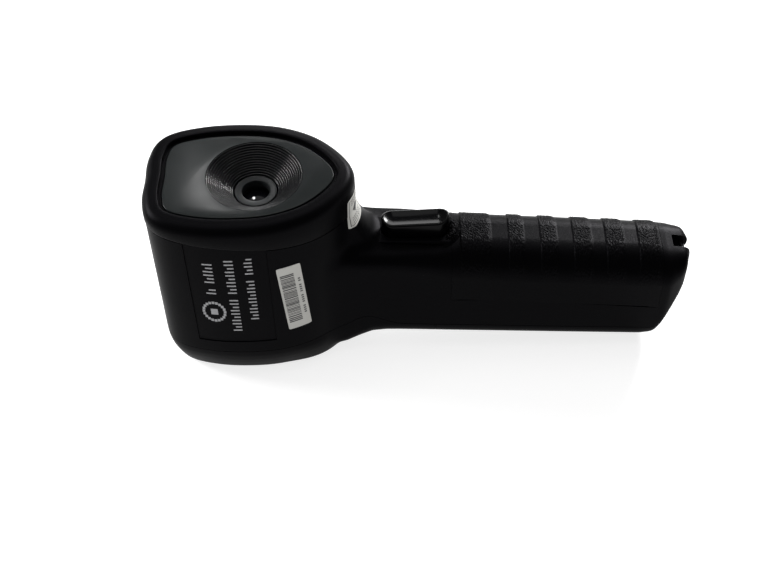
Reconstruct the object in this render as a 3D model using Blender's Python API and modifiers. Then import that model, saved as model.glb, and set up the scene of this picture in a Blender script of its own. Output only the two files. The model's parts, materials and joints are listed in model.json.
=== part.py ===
"""Handheld thermal imaging camera, lying on its back, as separate solid pieces.

Units are metres. +Z is the lens axis, +X runs from the head to the end of the handle, and
Y is the width, so XZ is the mirror plane. Z = 0 is the face that the camera lies on.
"""
import math

import bmesh
import bpy
from mathutils import Matrix, Vector

# ---------------------------------------------------------------- driving dimensions
GAP = 0.0003                 # clearance kept between pieces that touch

# head: the inner rim of the front bezel is the outline that everything else is offset from
RIM_HALF = [(-0.1052, 0.0), (-0.1052, 0.0110), (-0.1018, 0.0195), (-0.0890, 0.0237),
            (-0.0735, 0.0246), (-0.0600, 0.0229), (-0.0478, 0.0175), (-0.0384, 0.0083),
            (-0.0350, 0.0)]
OUTLINE_POINTS = 52
BEZEL_OUT = 0.0065           # bezel's outer wall, outward from the rim
BODY_OUT = 0.0062            # housing's outer wall, outward from the rim
WALL = 0.0022                # moulded wall thickness
FRONT_Z = 0.0916             # highest line of the bezel
FRONT_FORM_Z = 0.0860         # uncut top of the head's form
FRONT_SEAM_Z = 0.0800        # bezel meets housing at SEAM_LEVEL_X
FRONT_SEAM_SLOPE = -0.105     # that seam falls towards the handle
SEAM_LEVEL_X = -0.0720
REAR_SEAM_Z = 0.0170         # housing meets rear cover
PANEL_Z = 0.0905             # face of the glossy lens panel
PANEL_THICK = 0.0020
PANEL_INSET = 0.0017         # panel edge, inward from the rim
LEDGE_INSET = 0.0014         # bezel ledge that stands round the panel
BEZEL_SHOULDER = 0.0040

# optics
LENS_X = -0.0682
CONE_RADIUS = 0.0194
CONE_INNER = 0.0089
CONE_DEPTH = 0.0085
CONE_STEPS = 12
BARREL_RADIUS = 0.0085
APERTURE = 0.0056
BARREL_BASE_Z = 0.0579
BRACKET_Z = 0.0490
TURN_STEPS = 32

# handle stations: x, half width, back z, front z, back edge radius, front edge radius
HANDLE = [
    (-0.0500, 0.0200, 0.0050, 0.0600, 0.0040, 0.0050),
    (-0.0440, 0.0205, 0.0045, 0.0600, 0.0040, 0.0050),
    (-0.0390, 0.0190, 0.0040, 0.0600, 0.0050, 0.0060),
    (-0.0340, 0.0178, 0.0036, 0.0598, 0.0060, 0.0060),
    (-0.0290, 0.0171, 0.0054, 0.0586, 0.0070, 0.0060),
    (-0.0230, 0.0167, 0.0076, 0.0579, 0.0080, 0.0060),
    (-0.0170, 0.0165, 0.0081, 0.0576, 0.0080, 0.0060),
    (-0.0110, 0.0165, 0.0080, 0.0574, 0.0080, 0.0062),
    (0.0040, 0.0165, 0.0073, 0.0567, 0.0080, 0.0080),
    (0.0142, 0.0165, 0.0068, 0.0578, 0.0080, 0.0128),
    (0.0240, 0.0165, 0.00636, 0.0572, 0.0080, 0.0130),
    (0.0620, 0.0165, 0.00458, 0.0542, 0.0080, 0.0130),
    (0.0930, 0.0164, 0.0031, 0.0516, 0.0080, 0.0130),
    (0.0975, 0.0163, 0.0037, 0.0506, 0.0080, 0.0120),
    (0.0990, 0.0162, 0.0048, 0.0501, 0.0080, 0.0115),
    (0.1008, 0.0163, 0.0087, 0.0495, 0.0078, 0.0110),
    (0.1023, 0.0158, 0.0130, 0.0494, 0.0071, 0.0107),
    (0.1038, 0.0149, 0.0174, 0.0492, 0.0064, 0.0100),
    (0.1052, 0.0140, 0.0217, 0.0490, 0.0057, 0.0088),
    (0.1066, 0.0130, 0.0260, 0.0488, 0.0049, 0.0075),
    (0.1078, 0.0118, 0.0302, 0.0486, 0.0041, 0.0062),
    (0.1086, 0.0102, 0.0344, 0.0482, 0.0033, 0.0050),
    (0.1090, 0.0084, 0.0386, 0.0478, 0.0025, 0.0038),
    (0.1094, 0.0064, 0.0428, 0.0475, 0.0017, 0.0026),
    (0.1101, 0.0048, 0.0438, 0.0470, 0.0010, 0.0013),
]
# the fillet between head and handle: height, and how far it stands out from the housing
FILLET = [(0.0560, 0.0120), (0.0581, 0.0120), (0.0585, 0.0096), (0.0593, 0.0081),
          (0.0603, 0.0065), (0.0624, 0.0050), (0.0657, 0.0033), (0.0715, 0.0011),
          (0.0755, 0.0002), (0.0800, 0.0)]
FILLET_HALF = 0.0090
HANDLE_WALL = 0.0026
TAIL_START = 0.0900          # the end of the handle begins to round off here
CAVITY_END = 0.1020          # the strap notch lies in solid plastic beyond this
CORNER_STEPS = 4
CHAMFER_START = 0.0930       # the back of the handle turns up here
NECK_END = -0.0150           # the seam runs parallel to the handle's back from here
HANDLE_SLOPE = -0.0468
NECK_WAVE = 0.0055           # the seam rises this much beside the neck
NECK_WAVE_X = -0.0250
NECK_WAVE_REACH = 0.0085
DOOR_START = 0.0040          # battery door, from here to the end of the handle
DOOR_TILT = math.radians(2.7)

# grip sleeve: raised bands with valleys between them
GRIP_START = 0.0104
GRIP_END = 0.0980
GRIP_DEPTH = 0.0255          # how far the sleeve reaches down the sides
GRIP_THICK = 0.0012
BAND_RAISE = 0.0005
BANDS = [(0.0142, 0.0273), (0.0341, 0.0410), (0.0473, 0.0547),
         (0.0610, 0.0693), (0.0746, 0.0829), (0.0883, 0.0973)]

# trigger
TRIGGER_X = -0.0045
TRIGGER_LENGTH = 0.0278
TRIGGER_WIDTH = 0.0096
TRIGGER_TOP = 0.0666
TRIGGER_DIP = 0.0012
TRIGGER_SEAT = 0.0500
SADDLE_TOP = 0.0586          # flat platform round the trigger
SADDLE_HALF = 0.0075
TRIGGER_BOARD_Z = 0.0420

# back of the head
WINDOW_X = (-0.0988, -0.0590)
WINDOW_HALF = 0.0173
RIM_RECESS = 0.0006
KEY_RADIUS = 0.0036
KEY_PLACES = {"key_menu": (-0.0490, 0.0), "key_power": (-0.0400, 0.0),
              "key_up": (-0.0490, 0.0105), "key_down": (-0.0490, -0.0105)}
KEY_TRAVEL = 0.0008
BOARD_Z = 0.0140
BOARD_THICK = 0.0016
BOARD_FIXINGS = [(-0.0980, -0.0098), (-0.0980, 0.0098), (-0.0445, -0.0058),
                 (-0.0445, 0.0058)]

# battery: one 18650 cell
CELL_RADIUS = 0.0092
CELL_LENGTH = 0.0650
CELL_CENTRE = (0.0525, 0.0196)

PALETTE = {                  # name: colour, roughness, metallic
    "shell": ((0.018, 0.018, 0.020), 0.55, 0.0),
    "gloss": ((0.035, 0.038, 0.038), 0.18, 0.0),
    "button": ((0.006, 0.006, 0.007), 0.12, 0.0),
    "rubber": ((0.022, 0.023, 0.023), 0.80, 0.0),
    "paper": ((0.72, 0.71, 0.68), 0.60, 0.0),
    "glass": ((0.02, 0.02, 0.025), 0.05, 0.0),
    "board": ((0.02, 0.10, 0.05), 0.50, 0.0),
    "chip": ((0.03, 0.03, 0.03), 0.45, 0.0),
    "steel": ((0.55, 0.55, 0.56), 0.30, 1.0),
    "copper": ((0.55, 0.33, 0.14), 0.40, 0.6),
    "cell": ((0.05, 0.16, 0.36), 0.40, 0.0),
}


# ---------------------------------------------------------------- scene and helpers
def clear_scene():
    for obj in list(bpy.data.objects):
        bpy.data.objects.remove(obj, do_unlink=True)


def new_collection(name):
    coll = bpy.data.collections.new(name)
    bpy.context.scene.collection.children.link(coll)
    return coll


def make_materials():
    made = {}
    for name, (colour, roughness, metallic) in PALETTE.items():
        mat = bpy.data.materials.new(name)
        mat.use_nodes = True
        shader = mat.node_tree.nodes["Principled BSDF"]
        shader.inputs["Base Color"].default_value = (*colour, 1.0)
        shader.inputs["Roughness"].default_value = roughness
        shader.inputs["Metallic"].default_value = metallic
        made[name] = mat
    return made


clear_scene()
PARTS = new_collection("thermal_imaging_camera")
CUTTERS = new_collection("cutters")
MATERIALS = make_materials()


def place(bm, name, material, at=(0.0, 0.0, 0.0), tilt=0.0, smooth=False):
    """Turn a bmesh into an object; a cutter has no material."""
    bmesh.ops.recalc_face_normals(bm, faces=bm.faces)
    mesh = bpy.data.meshes.new(name)
    bm.to_mesh(mesh)
    bm.free()
    obj = bpy.data.objects.new(name, mesh)
    obj.location = at
    obj.rotation_euler = (0.0, tilt, 0.0)
    if material is None:
        CUTTERS.objects.link(obj)
        obj.hide_render = True
        obj.display_type = "WIRE"
        return obj
    PARTS.objects.link(obj)
    mesh.materials.append(MATERIALS[material])
    if smooth:
        mesh.shade_smooth()
        mesh.set_sharp_from_angle(angle=math.radians(35))
    return obj


def boolean(obj, cutter, operation="DIFFERENCE"):
    mod = obj.modifiers.new(operation.title() + "_" + cutter.name, "BOOLEAN")
    mod.operation = operation
    mod.object = cutter
    mod.solver = "EXACT"
    return obj


def loft(rings):
    """Closed solid through rings of equal point counts, with flat end faces."""
    bm = bmesh.new()
    loops = [[bm.verts.new(p) for p in ring] for ring in rings]
    count = len(loops[0])
    for low, high in zip(loops, loops[1:]):
        for i in range(count):
            j = (i + 1) % count
            bm.faces.new((low[i], low[j], high[j], high[i]))
    bm.faces.new(loops[0])
    bm.faces.new(loops[-1])
    return bm


def box(name, material, low, high, bevel=0.0, at=(0.0, 0.0, 0.0), tilt=0.0):
    bm = bmesh.new()
    bmesh.ops.create_cube(bm, size=1.0)
    size = Vector(high) - Vector(low)
    bmesh.ops.scale(bm, vec=size, verts=bm.verts)
    bmesh.ops.translate(bm, vec=(Vector(low) + Vector(high)) / 2, verts=bm.verts)
    obj = place(bm, name, material, at, tilt)
    if bevel:
        mod = obj.modifiers.new("Bevel", "BEVEL")
        mod.width = bevel
        mod.segments = 2
    return obj


def cylinder(name, material, radius, low, high, centre, steps=24, tilt=0.0, axis="Z"):
    """Round bar from low to high along axis, through centre."""
    bm = bmesh.new()
    bmesh.ops.create_cone(bm, cap_ends=True, segments=steps, radius1=radius,
                          radius2=radius, depth=high - low)
    bmesh.ops.translate(bm, vec=(0.0, 0.0, (low + high) / 2), verts=bm.verts)
    turn = {"Z": Matrix.Identity(3), "X": Matrix.Rotation(math.pi / 2, 3, "Y"),
            "Y": Matrix.Rotation(-math.pi / 2, 3, "X")}[axis]
    bmesh.ops.rotate(bm, matrix=turn, verts=bm.verts)
    return place(bm, name, material, centre, tilt, smooth=True)


def turned(name, material, profile, centre, steps=TURN_STEPS, closed=False):
    """Profile of (radius, z) turned about Z; it ends on the axis unless it is closed."""
    bm = bmesh.new()
    verts = [bm.verts.new((r, 0.0, z)) for r, z in profile]
    pairs = list(zip(verts, verts[1:]))
    if closed:
        pairs.append((verts[-1], verts[0]))
    for a, b in pairs:
        bm.edges.new((a, b))
    bmesh.ops.spin(bm, geom=bm.verts[:] + bm.edges[:], cent=(0, 0, 0), axis=(0, 0, 1),
                   angle=2 * math.pi, steps=steps, use_merge=True)
    bmesh.ops.remove_doubles(bm, verts=bm.verts, dist=1e-6)
    return place(bm, name, material, centre, smooth=True)


def tube(name, material, points, radius, sides=2):
    """Wire along points, as a bevelled curve with filled ends."""
    curve = bpy.data.curves.new(name, "CURVE")
    curve.dimensions = "3D"
    curve.bevel_depth = radius
    curve.bevel_resolution = sides
    curve.use_fill_caps = True
    spline = curve.splines.new("POLY")
    spline.points.add(len(points) - 1)
    for point, co in zip(spline.points, points):
        point.co = (*co, 1.0)
    obj = bpy.data.objects.new(name, curve)
    PARTS.objects.link(obj)
    curve.materials.append(MATERIALS[material])
    return obj


def smooth_route(points, per_span=6):
    """Catmull-Rom points through a short list of places."""
    pts = [Vector(p) for p in points]
    pts = [2 * pts[0] - pts[1]] + pts + [2 * pts[-1] - pts[-2]]
    route = []
    for i in range(1, len(pts) - 2):
        a, b, c, d = pts[i - 1:i + 3]
        for k in range(per_span):
            t = k / per_span
            route.append(0.5 * (2 * b + (c - a) * t + (2 * a - 5 * b + 4 * c - d) * t ** 2
                                + (3 * b - a - 3 * c + d) * t ** 3))
    route.append(pts[-2])
    return route


# ---------------------------------------------------------------- outlines
def rim_polyline(per_span=24):
    """Closed spline through the rim's half points and their mirror image."""
    half = RIM_HALF
    pts = half + [(x, -y) for x, y in reversed(half[1:-1])]
    count = len(pts)
    line = []
    for i in range(count):
        a, b, c, d = (Vector(pts[(i + k) % count]) for k in (-1, 0, 1, 2))
        for k in range(per_span):
            t = k / per_span
            line.append(0.5 * (2 * b + (c - a) * t + (2 * a - 5 * b + 4 * c - d) * t ** 2
                               + (3 * b - a - 3 * c + d) * t ** 3))
    return line


RIM = rim_polyline()
RIM_STEPS = [(RIM[(i + 1) % len(RIM)] - RIM[i]).length for i in range(len(RIM))]
RIM_LENGTH = sum(RIM_STEPS)
TIP_AT = RIM_LENGTH / 2      # distance along the rim at the tip on the handle side


def rim_at(distance, offset=0.0):
    """Point at a distance along the rim past the handle-side tip, moved outward."""
    target = (TIP_AT + distance) % RIM_LENGTH
    i = 0
    while target > RIM_STEPS[i] and i < len(RIM) - 1:
        target -= RIM_STEPS[i]
        i += 1
    a, b = RIM[i], RIM[(i + 1) % len(RIM)]
    before, after = RIM[i - 2], RIM[(i + 3) % len(RIM)]
    point = a.lerp(b, target / RIM_STEPS[i])
    along = (after - before).normalized()
    return point + Vector((-along.y, along.x)) * offset


def head_ring(offset, z, count=OUTLINE_POINTS):
    return [(*rim_at(RIM_LENGTH * k / count, offset), z) for k in range(count)]


def side_distance(x):
    """Distance along the rim, on the near (-Y) side, where it passes x."""
    distance = 0.0
    while rim_at(distance).x > x:
        distance += 0.0002
    return distance


def wall_patch(centre, width, height, inner, outer, tilt=0.0, columns=8, rows=1):
    """Thin plate that follows the head's side wall, for a plate, a sticker or a recess."""
    slices = []
    for i in range(columns + 1):
        u = width * (i / columns - 0.5)
        ring = []
        for offset, order in ((inner, 1), (outer, -1)):
            for v in (order * height * (k / rows - 0.5) for k in range(rows + 1)):
                s = centre[0] + u * math.cos(tilt) - v * math.sin(tilt)
                z = centre[1] + u * math.sin(tilt) + v * math.cos(tilt)
                ring.append((*rim_at(s, offset), z))
        slices.append(ring)
    bm = loft(slices)
    bmesh.ops.triangulate(bm, faces=bm.faces)
    return bm


def handle_at(x):
    for low, high in zip(HANDLE, HANDLE[1:]):
        if x <= high[0]:
            t = (x - low[0]) / (high[0] - low[0])
            return [a + (b - a) * t for a, b in zip(low[1:], high[1:])]
    return list(HANDLE[-1][1:])


def corner(centre_y, centre_z, radius, first):
    """Quarter circle of points, starting at the angle first (in quarters)."""
    points = []
    for k in range(CORNER_STEPS + 1):
        a = (first + k / CORNER_STEPS) * math.pi / 2
        points.append((centre_y + radius * math.cos(a), centre_z + radius * math.sin(a)))
    return points


def handle_ring(x, inset=0.0, shift=0.0):
    """Rounded rectangle across the handle at x, moved inward by inset."""
    w, back, front, r_back, r_front = handle_at(x)
    w, back, front = w - inset, back + inset, front - inset
    r_back, r_front = r_back - inset, r_front - inset
    points = (corner(w - r_front, front - r_front, r_front, 0)
              + corner(-w + r_front, front - r_front, r_front, 1)
              + corner(-w + r_back, back + r_back, r_back, 2)
              + corner(w - r_back, back + r_back, r_back, 3))
    return [(x + shift, y, z) for y, z in points]


def sleeve_ring(x, outer, inner, depth):
    """C-shaped section over the front of the handle, between two offsets."""
    w, back, front, r_back, r_front = handle_at(x)
    low = front - depth
    ring = []
    for offset in (outer, inner):
        r = r_front + offset
        arc = [(w + offset, low)]
        arc += corner(w - r_front, front - r_front, r, 0)
        arc += corner(-w + r_front, front - r_front, r, 1)
        arc += [(-w - offset, low)]
        ring += arc if offset == outer else arc[::-1]
    return [(x, y, z) for y, z in ring]


def seam_height(x):
    """Height of the seam between the front shell and the rear pieces."""
    wave = NECK_WAVE * math.exp(-((x - NECK_WAVE_X) / NECK_WAVE_REACH) ** 2)
    return REAR_SEAM_Z + wave + HANDLE_SLOPE * max(x - NECK_END, 0.0)


def below_seam(name, shift, x_low=-0.130, x_high=0.130, floor=-0.010):
    """Cutter for everything below the seam, between two places along the camera."""
    places = [x_low] + [x for x in (-0.045 + 0.003 * k for k in range(14))
                        if x_low < x < x_high]
    places += [x for x in (0.0240, CHAMFER_START) if x_low < x < x_high] + [x_high]
    rings = []
    for x in places:
        top = seam_height(x) + shift
        rings.append([(x, -0.05, floor), (x, 0.05, floor), (x, 0.05, top), (x, -0.05, top)])
    return place(loft(rings), name, None)


def front_seam(x):
    return FRONT_SEAM_Z + FRONT_SEAM_SLOPE * (x - SEAM_LEVEL_X)


def behind_front_seam(name, shift):
    """Wedge that holds everything behind the sloping seam of the front bezel."""
    rings = []
    for x in (-0.130, 0.130):
        top = front_seam(x) + shift
        rings.append([(x, -0.05, -0.01), (x, 0.05, -0.01), (x, 0.05, top), (x, -0.05, top)])
    return place(loft(rings), name, None)


def stadium(length, width, top, columns=14):
    """Ring of points round a stadium; top is a height or a function of x."""
    r, half = width / 2, length / 2
    height = top if callable(top) else (lambda x: top)
    upper = []
    for k in range(columns + 1):
        x = -half * math.cos(math.pi * k / columns)
        dx = max(abs(x) - (half - r), 0.0)
        upper.append((x, math.sqrt(max(r * r - dx * dx, 0.0)), height(x)))
    return upper, [(x, -y, z) for x, y, z in upper[-2:0:-1]]


def stadium_solid(name, material, layers, at, columns=14, smooth=False):
    """Solid through stadium layers (length, width, top), closed by strips at both ends."""
    bm = bmesh.new()
    loops = []
    for length, width, top in layers:
        upper, lower = stadium(length, width, top, columns)
        loops.append([bm.verts.new(p) for p in upper + lower])
    count = len(loops[0])
    for low, high in zip(loops, loops[1:]):
        for i in range(count):
            j = (i + 1) % count
            bm.faces.new((low[i], low[j], high[j], high[i]))
    for ring in (loops[0], loops[-1]):
        for k in range(columns):
            quad = [ring[k], ring[k + 1]]
            quad += [ring[(count - k - 1) % count]] if k < columns - 1 else []
            quad += [ring[(count - k) % count]] if k > 0 else []
            bm.faces.new(quad)
    return place(bm, name, material, at, smooth=smooth)


# ---------------------------------------------------------------- casing
def head_cavity():
    """Hollow of the head: the housing's walls stand round it."""
    out = BODY_OUT - WALL
    levels = [(out - 0.0040, WALL), (out - 0.0012, 0.0055), (out, REAR_SEAM_Z),
              (out, FRONT_Z)]
    return place(loft([head_ring(offset, z) for offset, z in levels]), "head_cavity", None)


def handle_form(name, inset):
    """Outer form of the handle and neck, or its cavity when inset is above zero."""
    rings = []
    for x, *_ in HANDLE:
        if inset and x > CAVITY_END:
            continue
        shift = -inset if inset and x > TAIL_START else 0.0
        rings.append(handle_ring(x, inset, shift))
    return place(loft(rings), name, None)


HEAD_CAVITY = head_cavity()
HANDLE_FORM = handle_form("handle_form", 0.0)
HANDLE_CAVITY = handle_form("handle_cavity", HANDLE_WALL)
# cover screws: x, y, and the height of the cover's outer face there
COVER_SCREWS = [(-0.0545, 0.0163, 0.0), (-0.0545, -0.0163, 0.0),
                (-0.0150, 0.0085, 0.0081), (-0.0150, -0.0085, 0.0081)]
BOSS_RADIUS = 0.0030
BOSS_TOP = 0.0380
TRIGGER_CUT = stadium_solid("trigger_cut", None,
                            [(TRIGGER_LENGTH + 0.0008, TRIGGER_WIDTH + 0.0008, 0.0520),
                             (TRIGGER_LENGTH + 0.0008, TRIGGER_WIDTH + 0.0008, 0.0700)],
                            (TRIGGER_X, 0, 0))
STRAP_CUT = box("strap_cut", None, (0.1029, -0.0032, 0.0405), (0.1200, 0.0032, 0.0520))
# the chamfer at the end of the handle: a point on it, and how far its normal tilts down
CHAMFER_AT = (0.10495, 0.0, 0.0210)
CHAMFER_TILT = math.radians(18.3)
FLAP_HALF = (0.0074, 0.0050)
FLAP_THICK = 0.0012
USB_CUT = box("usb_cut", None, (-0.0090, -0.0056, -0.0020), (0.0100, 0.0056, 0.0020),
              at=CHAMFER_AT, tilt=CHAMFER_TILT)
FLAP_CUT = box("flap_cut", None,
               (-FLAP_THICK - GAP, -FLAP_HALF[0] - GAP, -FLAP_HALF[1] - GAP),
               (0.0100, FLAP_HALF[0] + GAP, FLAP_HALF[1] + GAP),
               at=CHAMFER_AT, tilt=CHAMFER_TILT)


def recess_cut(name, outer, inner, margin):
    """Cutter for the pocket that the grip sleeve sits in."""
    ends = (GRIP_START - margin, 0.0240, 0.0620, GRIP_END + margin)
    return place(loft([sleeve_ring(x, outer, inner, GRIP_DEPTH + margin) for x in ends]),
                 name, None)


PLATE_X = (-0.0934, -0.0638)
PLATE_Z = (0.0240, FRONT_FORM_Z)     # the front seam cuts its upper end
PLATE_CENTRE = ((side_distance(PLATE_X[0]) + side_distance(PLATE_X[1])) / 2,
                (PLATE_Z[0] + PLATE_Z[1]) / 2)
PLATE_WIDTH = side_distance(PLATE_X[0]) - side_distance(PLATE_X[1])
PLATE_HEIGHT = PLATE_Z[1] - PLATE_Z[0]
PLATE_DEPTH = 0.0007


def make_housing():
    housing = place(loft([head_ring(BODY_OUT, REAR_SEAM_Z + GAP / 2),
                          head_ring(BODY_OUT, FRONT_FORM_Z)]),
                    "main_housing", "shell", smooth=True)
    boolean(housing, HANDLE_FORM, "UNION")
    saddle = box("saddle", None, (-0.0300, -SADDLE_HALF, 0.0540),
                 (0.0098, SADDLE_HALF, SADDLE_TOP), 0.0006)
    boolean(housing, saddle, "UNION")
    fillet = place(loft([head_ring(BODY_OUT + reach, z) for z, reach in FILLET]),
                   "fillet", None)
    boolean(fillet, box("fillet_span", None, (-0.0450, -FILLET_HALF, 0.0500),
                        (-0.0100, FILLET_HALF, FRONT_SEAM_Z)), "INTERSECT")
    boolean(housing, fillet, "UNION")
    boolean(housing, HEAD_CAVITY)
    boolean(housing, HANDLE_CAVITY)
    for i, (x, y, face) in enumerate(COVER_SCREWS):
        boss = cylinder("boss_%d" % i, None, BOSS_RADIUS, face + 0.0040, BOSS_TOP,
                        (x, y, 0), 16)
        boolean(housing, boss, "UNION")
        # the bosses stand clear of the wall, so a rib joins each of them to it
        ends = sorted((y, math.copysign(0.0260 if face == 0.0 else 0.0150, y)))
        rib = box("rib_%d" % i, None, (x - 0.0009, ends[0], REAR_SEAM_Z + GAP),
                  (x + 0.0009, ends[1], BOSS_TOP - 0.0020))
        boolean(housing, rib, "UNION")
        hole = cylinder("boss_hole_%d" % i, None, 0.00125, 0.0, 0.0300, (x, y, 0), 12)
        boolean(housing, hole)
    boolean(housing, below_seam("rear_side", GAP / 2))
    boolean(housing, TRIGGER_CUT)
    boolean(housing, STRAP_CUT)
    boolean(housing, USB_CUT)
    boolean(housing, FLAP_CUT)
    boolean(housing, recess_cut("grip_recess", 0.0030, -GRIP_THICK - GAP, GAP))
    plate_pocket = place(wall_patch(PLATE_CENTRE, PLATE_WIDTH + 2 * GAP,
                                    PLATE_HEIGHT + 2 * GAP, BODY_OUT - PLATE_DEPTH - GAP,
                                    BODY_OUT + 0.0020), "plate_pocket", None)
    boolean(housing, plate_pocket)
    boolean(housing, behind_front_seam("front_side", -GAP), "INTERSECT")
    return housing


def make_rear_cover():
    cover = place(loft([head_ring(-0.0006, 0.0), head_ring(0.0012, 0.0008),
                        head_ring(0.0028, 0.0030), head_ring(BODY_OUT, REAR_SEAM_Z)]),
                  "rear_cover", "shell", smooth=True)
    boolean(cover, HANDLE_FORM, "UNION")
    boolean(cover, HEAD_CAVITY)
    boolean(cover, HANDLE_CAVITY)
    for i, (x, y, face) in enumerate(COVER_SCREWS):
        post = cylinder("post_%d" % i, None, BOSS_RADIUS, face + 0.0018, BOSS_TOP,
                        (x, y, 0), 16)
        boolean(cover, post, "UNION")
        sink = cylinder("sink_%d" % i, None, 0.0026, -0.0050, face + 0.0030, (x, y, 0), 16)
        boolean(cover, sink)
        bore = cylinder("bore_%d" % i, None, 0.0015, -0.0050, 0.0250, (x, y, 0), 12)
        boolean(cover, bore)
    for i, (x, y) in enumerate(BOARD_FIXINGS[2:]):
        post = cylinder("board_stand_%d" % i, None, 0.0021, 0.0015, BOARD_Z - GAP, (x, y, 0), 16)
        boolean(cover, post, "UNION")
        boolean(cover, cylinder("stand_hole_%d" % i, None, 0.0011, BOARD_Z - 0.0050, 0.0300,
                                (x, y, 0), 12))
    boolean(cover, below_seam("cover_side", -GAP / 2, x_high=DOOR_START - GAP / 2),
            "INTERSECT")
    low, high = WINDOW_X
    step = 0.0018            # ledge that the display window rests on
    boolean(cover, box("window_recess", None, (low - GAP, -WINDOW_HALF - GAP, -0.0100),
                       (high + GAP, WINDOW_HALF + GAP, 0.0016), 0.0))
    boolean(cover, box("window_opening", None,
                       (low + step, -WINDOW_HALF + step, -0.0100),
                       (high - step, WINDOW_HALF - step, 0.0100)))
    for name, (x, y) in KEY_PLACES.items():
        boolean(cover, cylinder(name + "_hole", None, KEY_RADIUS + GAP, -0.0050, 0.0100,
                                (x, y, 0), 20))
    return cover


def make_battery_door():
    door = place(loft([handle_ring(x, 0.0) for x in (-0.0110, 0.0240, 0.0620)]
                      + [handle_ring(x) for x, *_ in HANDLE if x > TAIL_START]),
                 "battery_door", "shell", smooth=True)
    boolean(door, below_seam("door_side", -GAP / 2, x_low=DOOR_START + GAP / 2),
            "INTERSECT")
    boolean(door, HANDLE_CAVITY)
    return door


def make_bezel():
    """Soft front ring: inner lip, rounded shoulder, wall down to the seam."""
    out = BEZEL_OUT
    top = FRONT_Z
    inner = BODY_OUT - WALL - 0.0001
    # a height of None stands for the sloping seam
    profile = [(inner, None), (out, None)]
    for k in range(5):
        a = math.pi / 2 * k / 4
        profile.append((out - BEZEL_SHOULDER * (1 - math.cos(a)),
                        top - 0.0002 - BEZEL_SHOULDER * (1 - math.sin(a))))
    under = PANEL_Z - PANEL_THICK - GAP
    profile += [(0.0007, top), (0.0, top - 0.0006), (-0.0002, PANEL_Z - 0.0006),
                (-LEDGE_INSET, PANEL_Z - 0.0006), (-LEDGE_INSET, under),
                (0.0020, under - 0.0009), (inner, under - 0.0022)]
    bm = bmesh.new()
    loops = []
    for offset, z in profile:
        ring = head_ring(offset, z)
        loops.append([bm.verts.new((x, y, front_seam(x) if z is None else z))
                      for x, y, z in ring])
    for low, high in zip(loops, loops[1:] + loops[:1]):
        for i in range(OUTLINE_POINTS):
            j = (i + 1) % OUTLINE_POINTS
            bm.faces.new((low[i], low[j], high[j], high[i]))
    return place(bm, "front_bezel", "shell", smooth=True)


def make_grip_sleeve():
    """Rubber sleeve whose raised bands alternate with valleys."""
    places = [(GRIP_START, 0.0)]
    for low, high in BANDS:
        places += [(low - 0.0004, 0.0), (low, BAND_RAISE), (high - 0.0010, BAND_RAISE),
                   (high, 0.0)]
    places.append((GRIP_END, 0.0))
    return place(loft([sleeve_ring(x, lift, -GRIP_THICK, GRIP_DEPTH) for x, lift in places]),
                 "grip_sleeve", "rubber", smooth=True)


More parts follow.
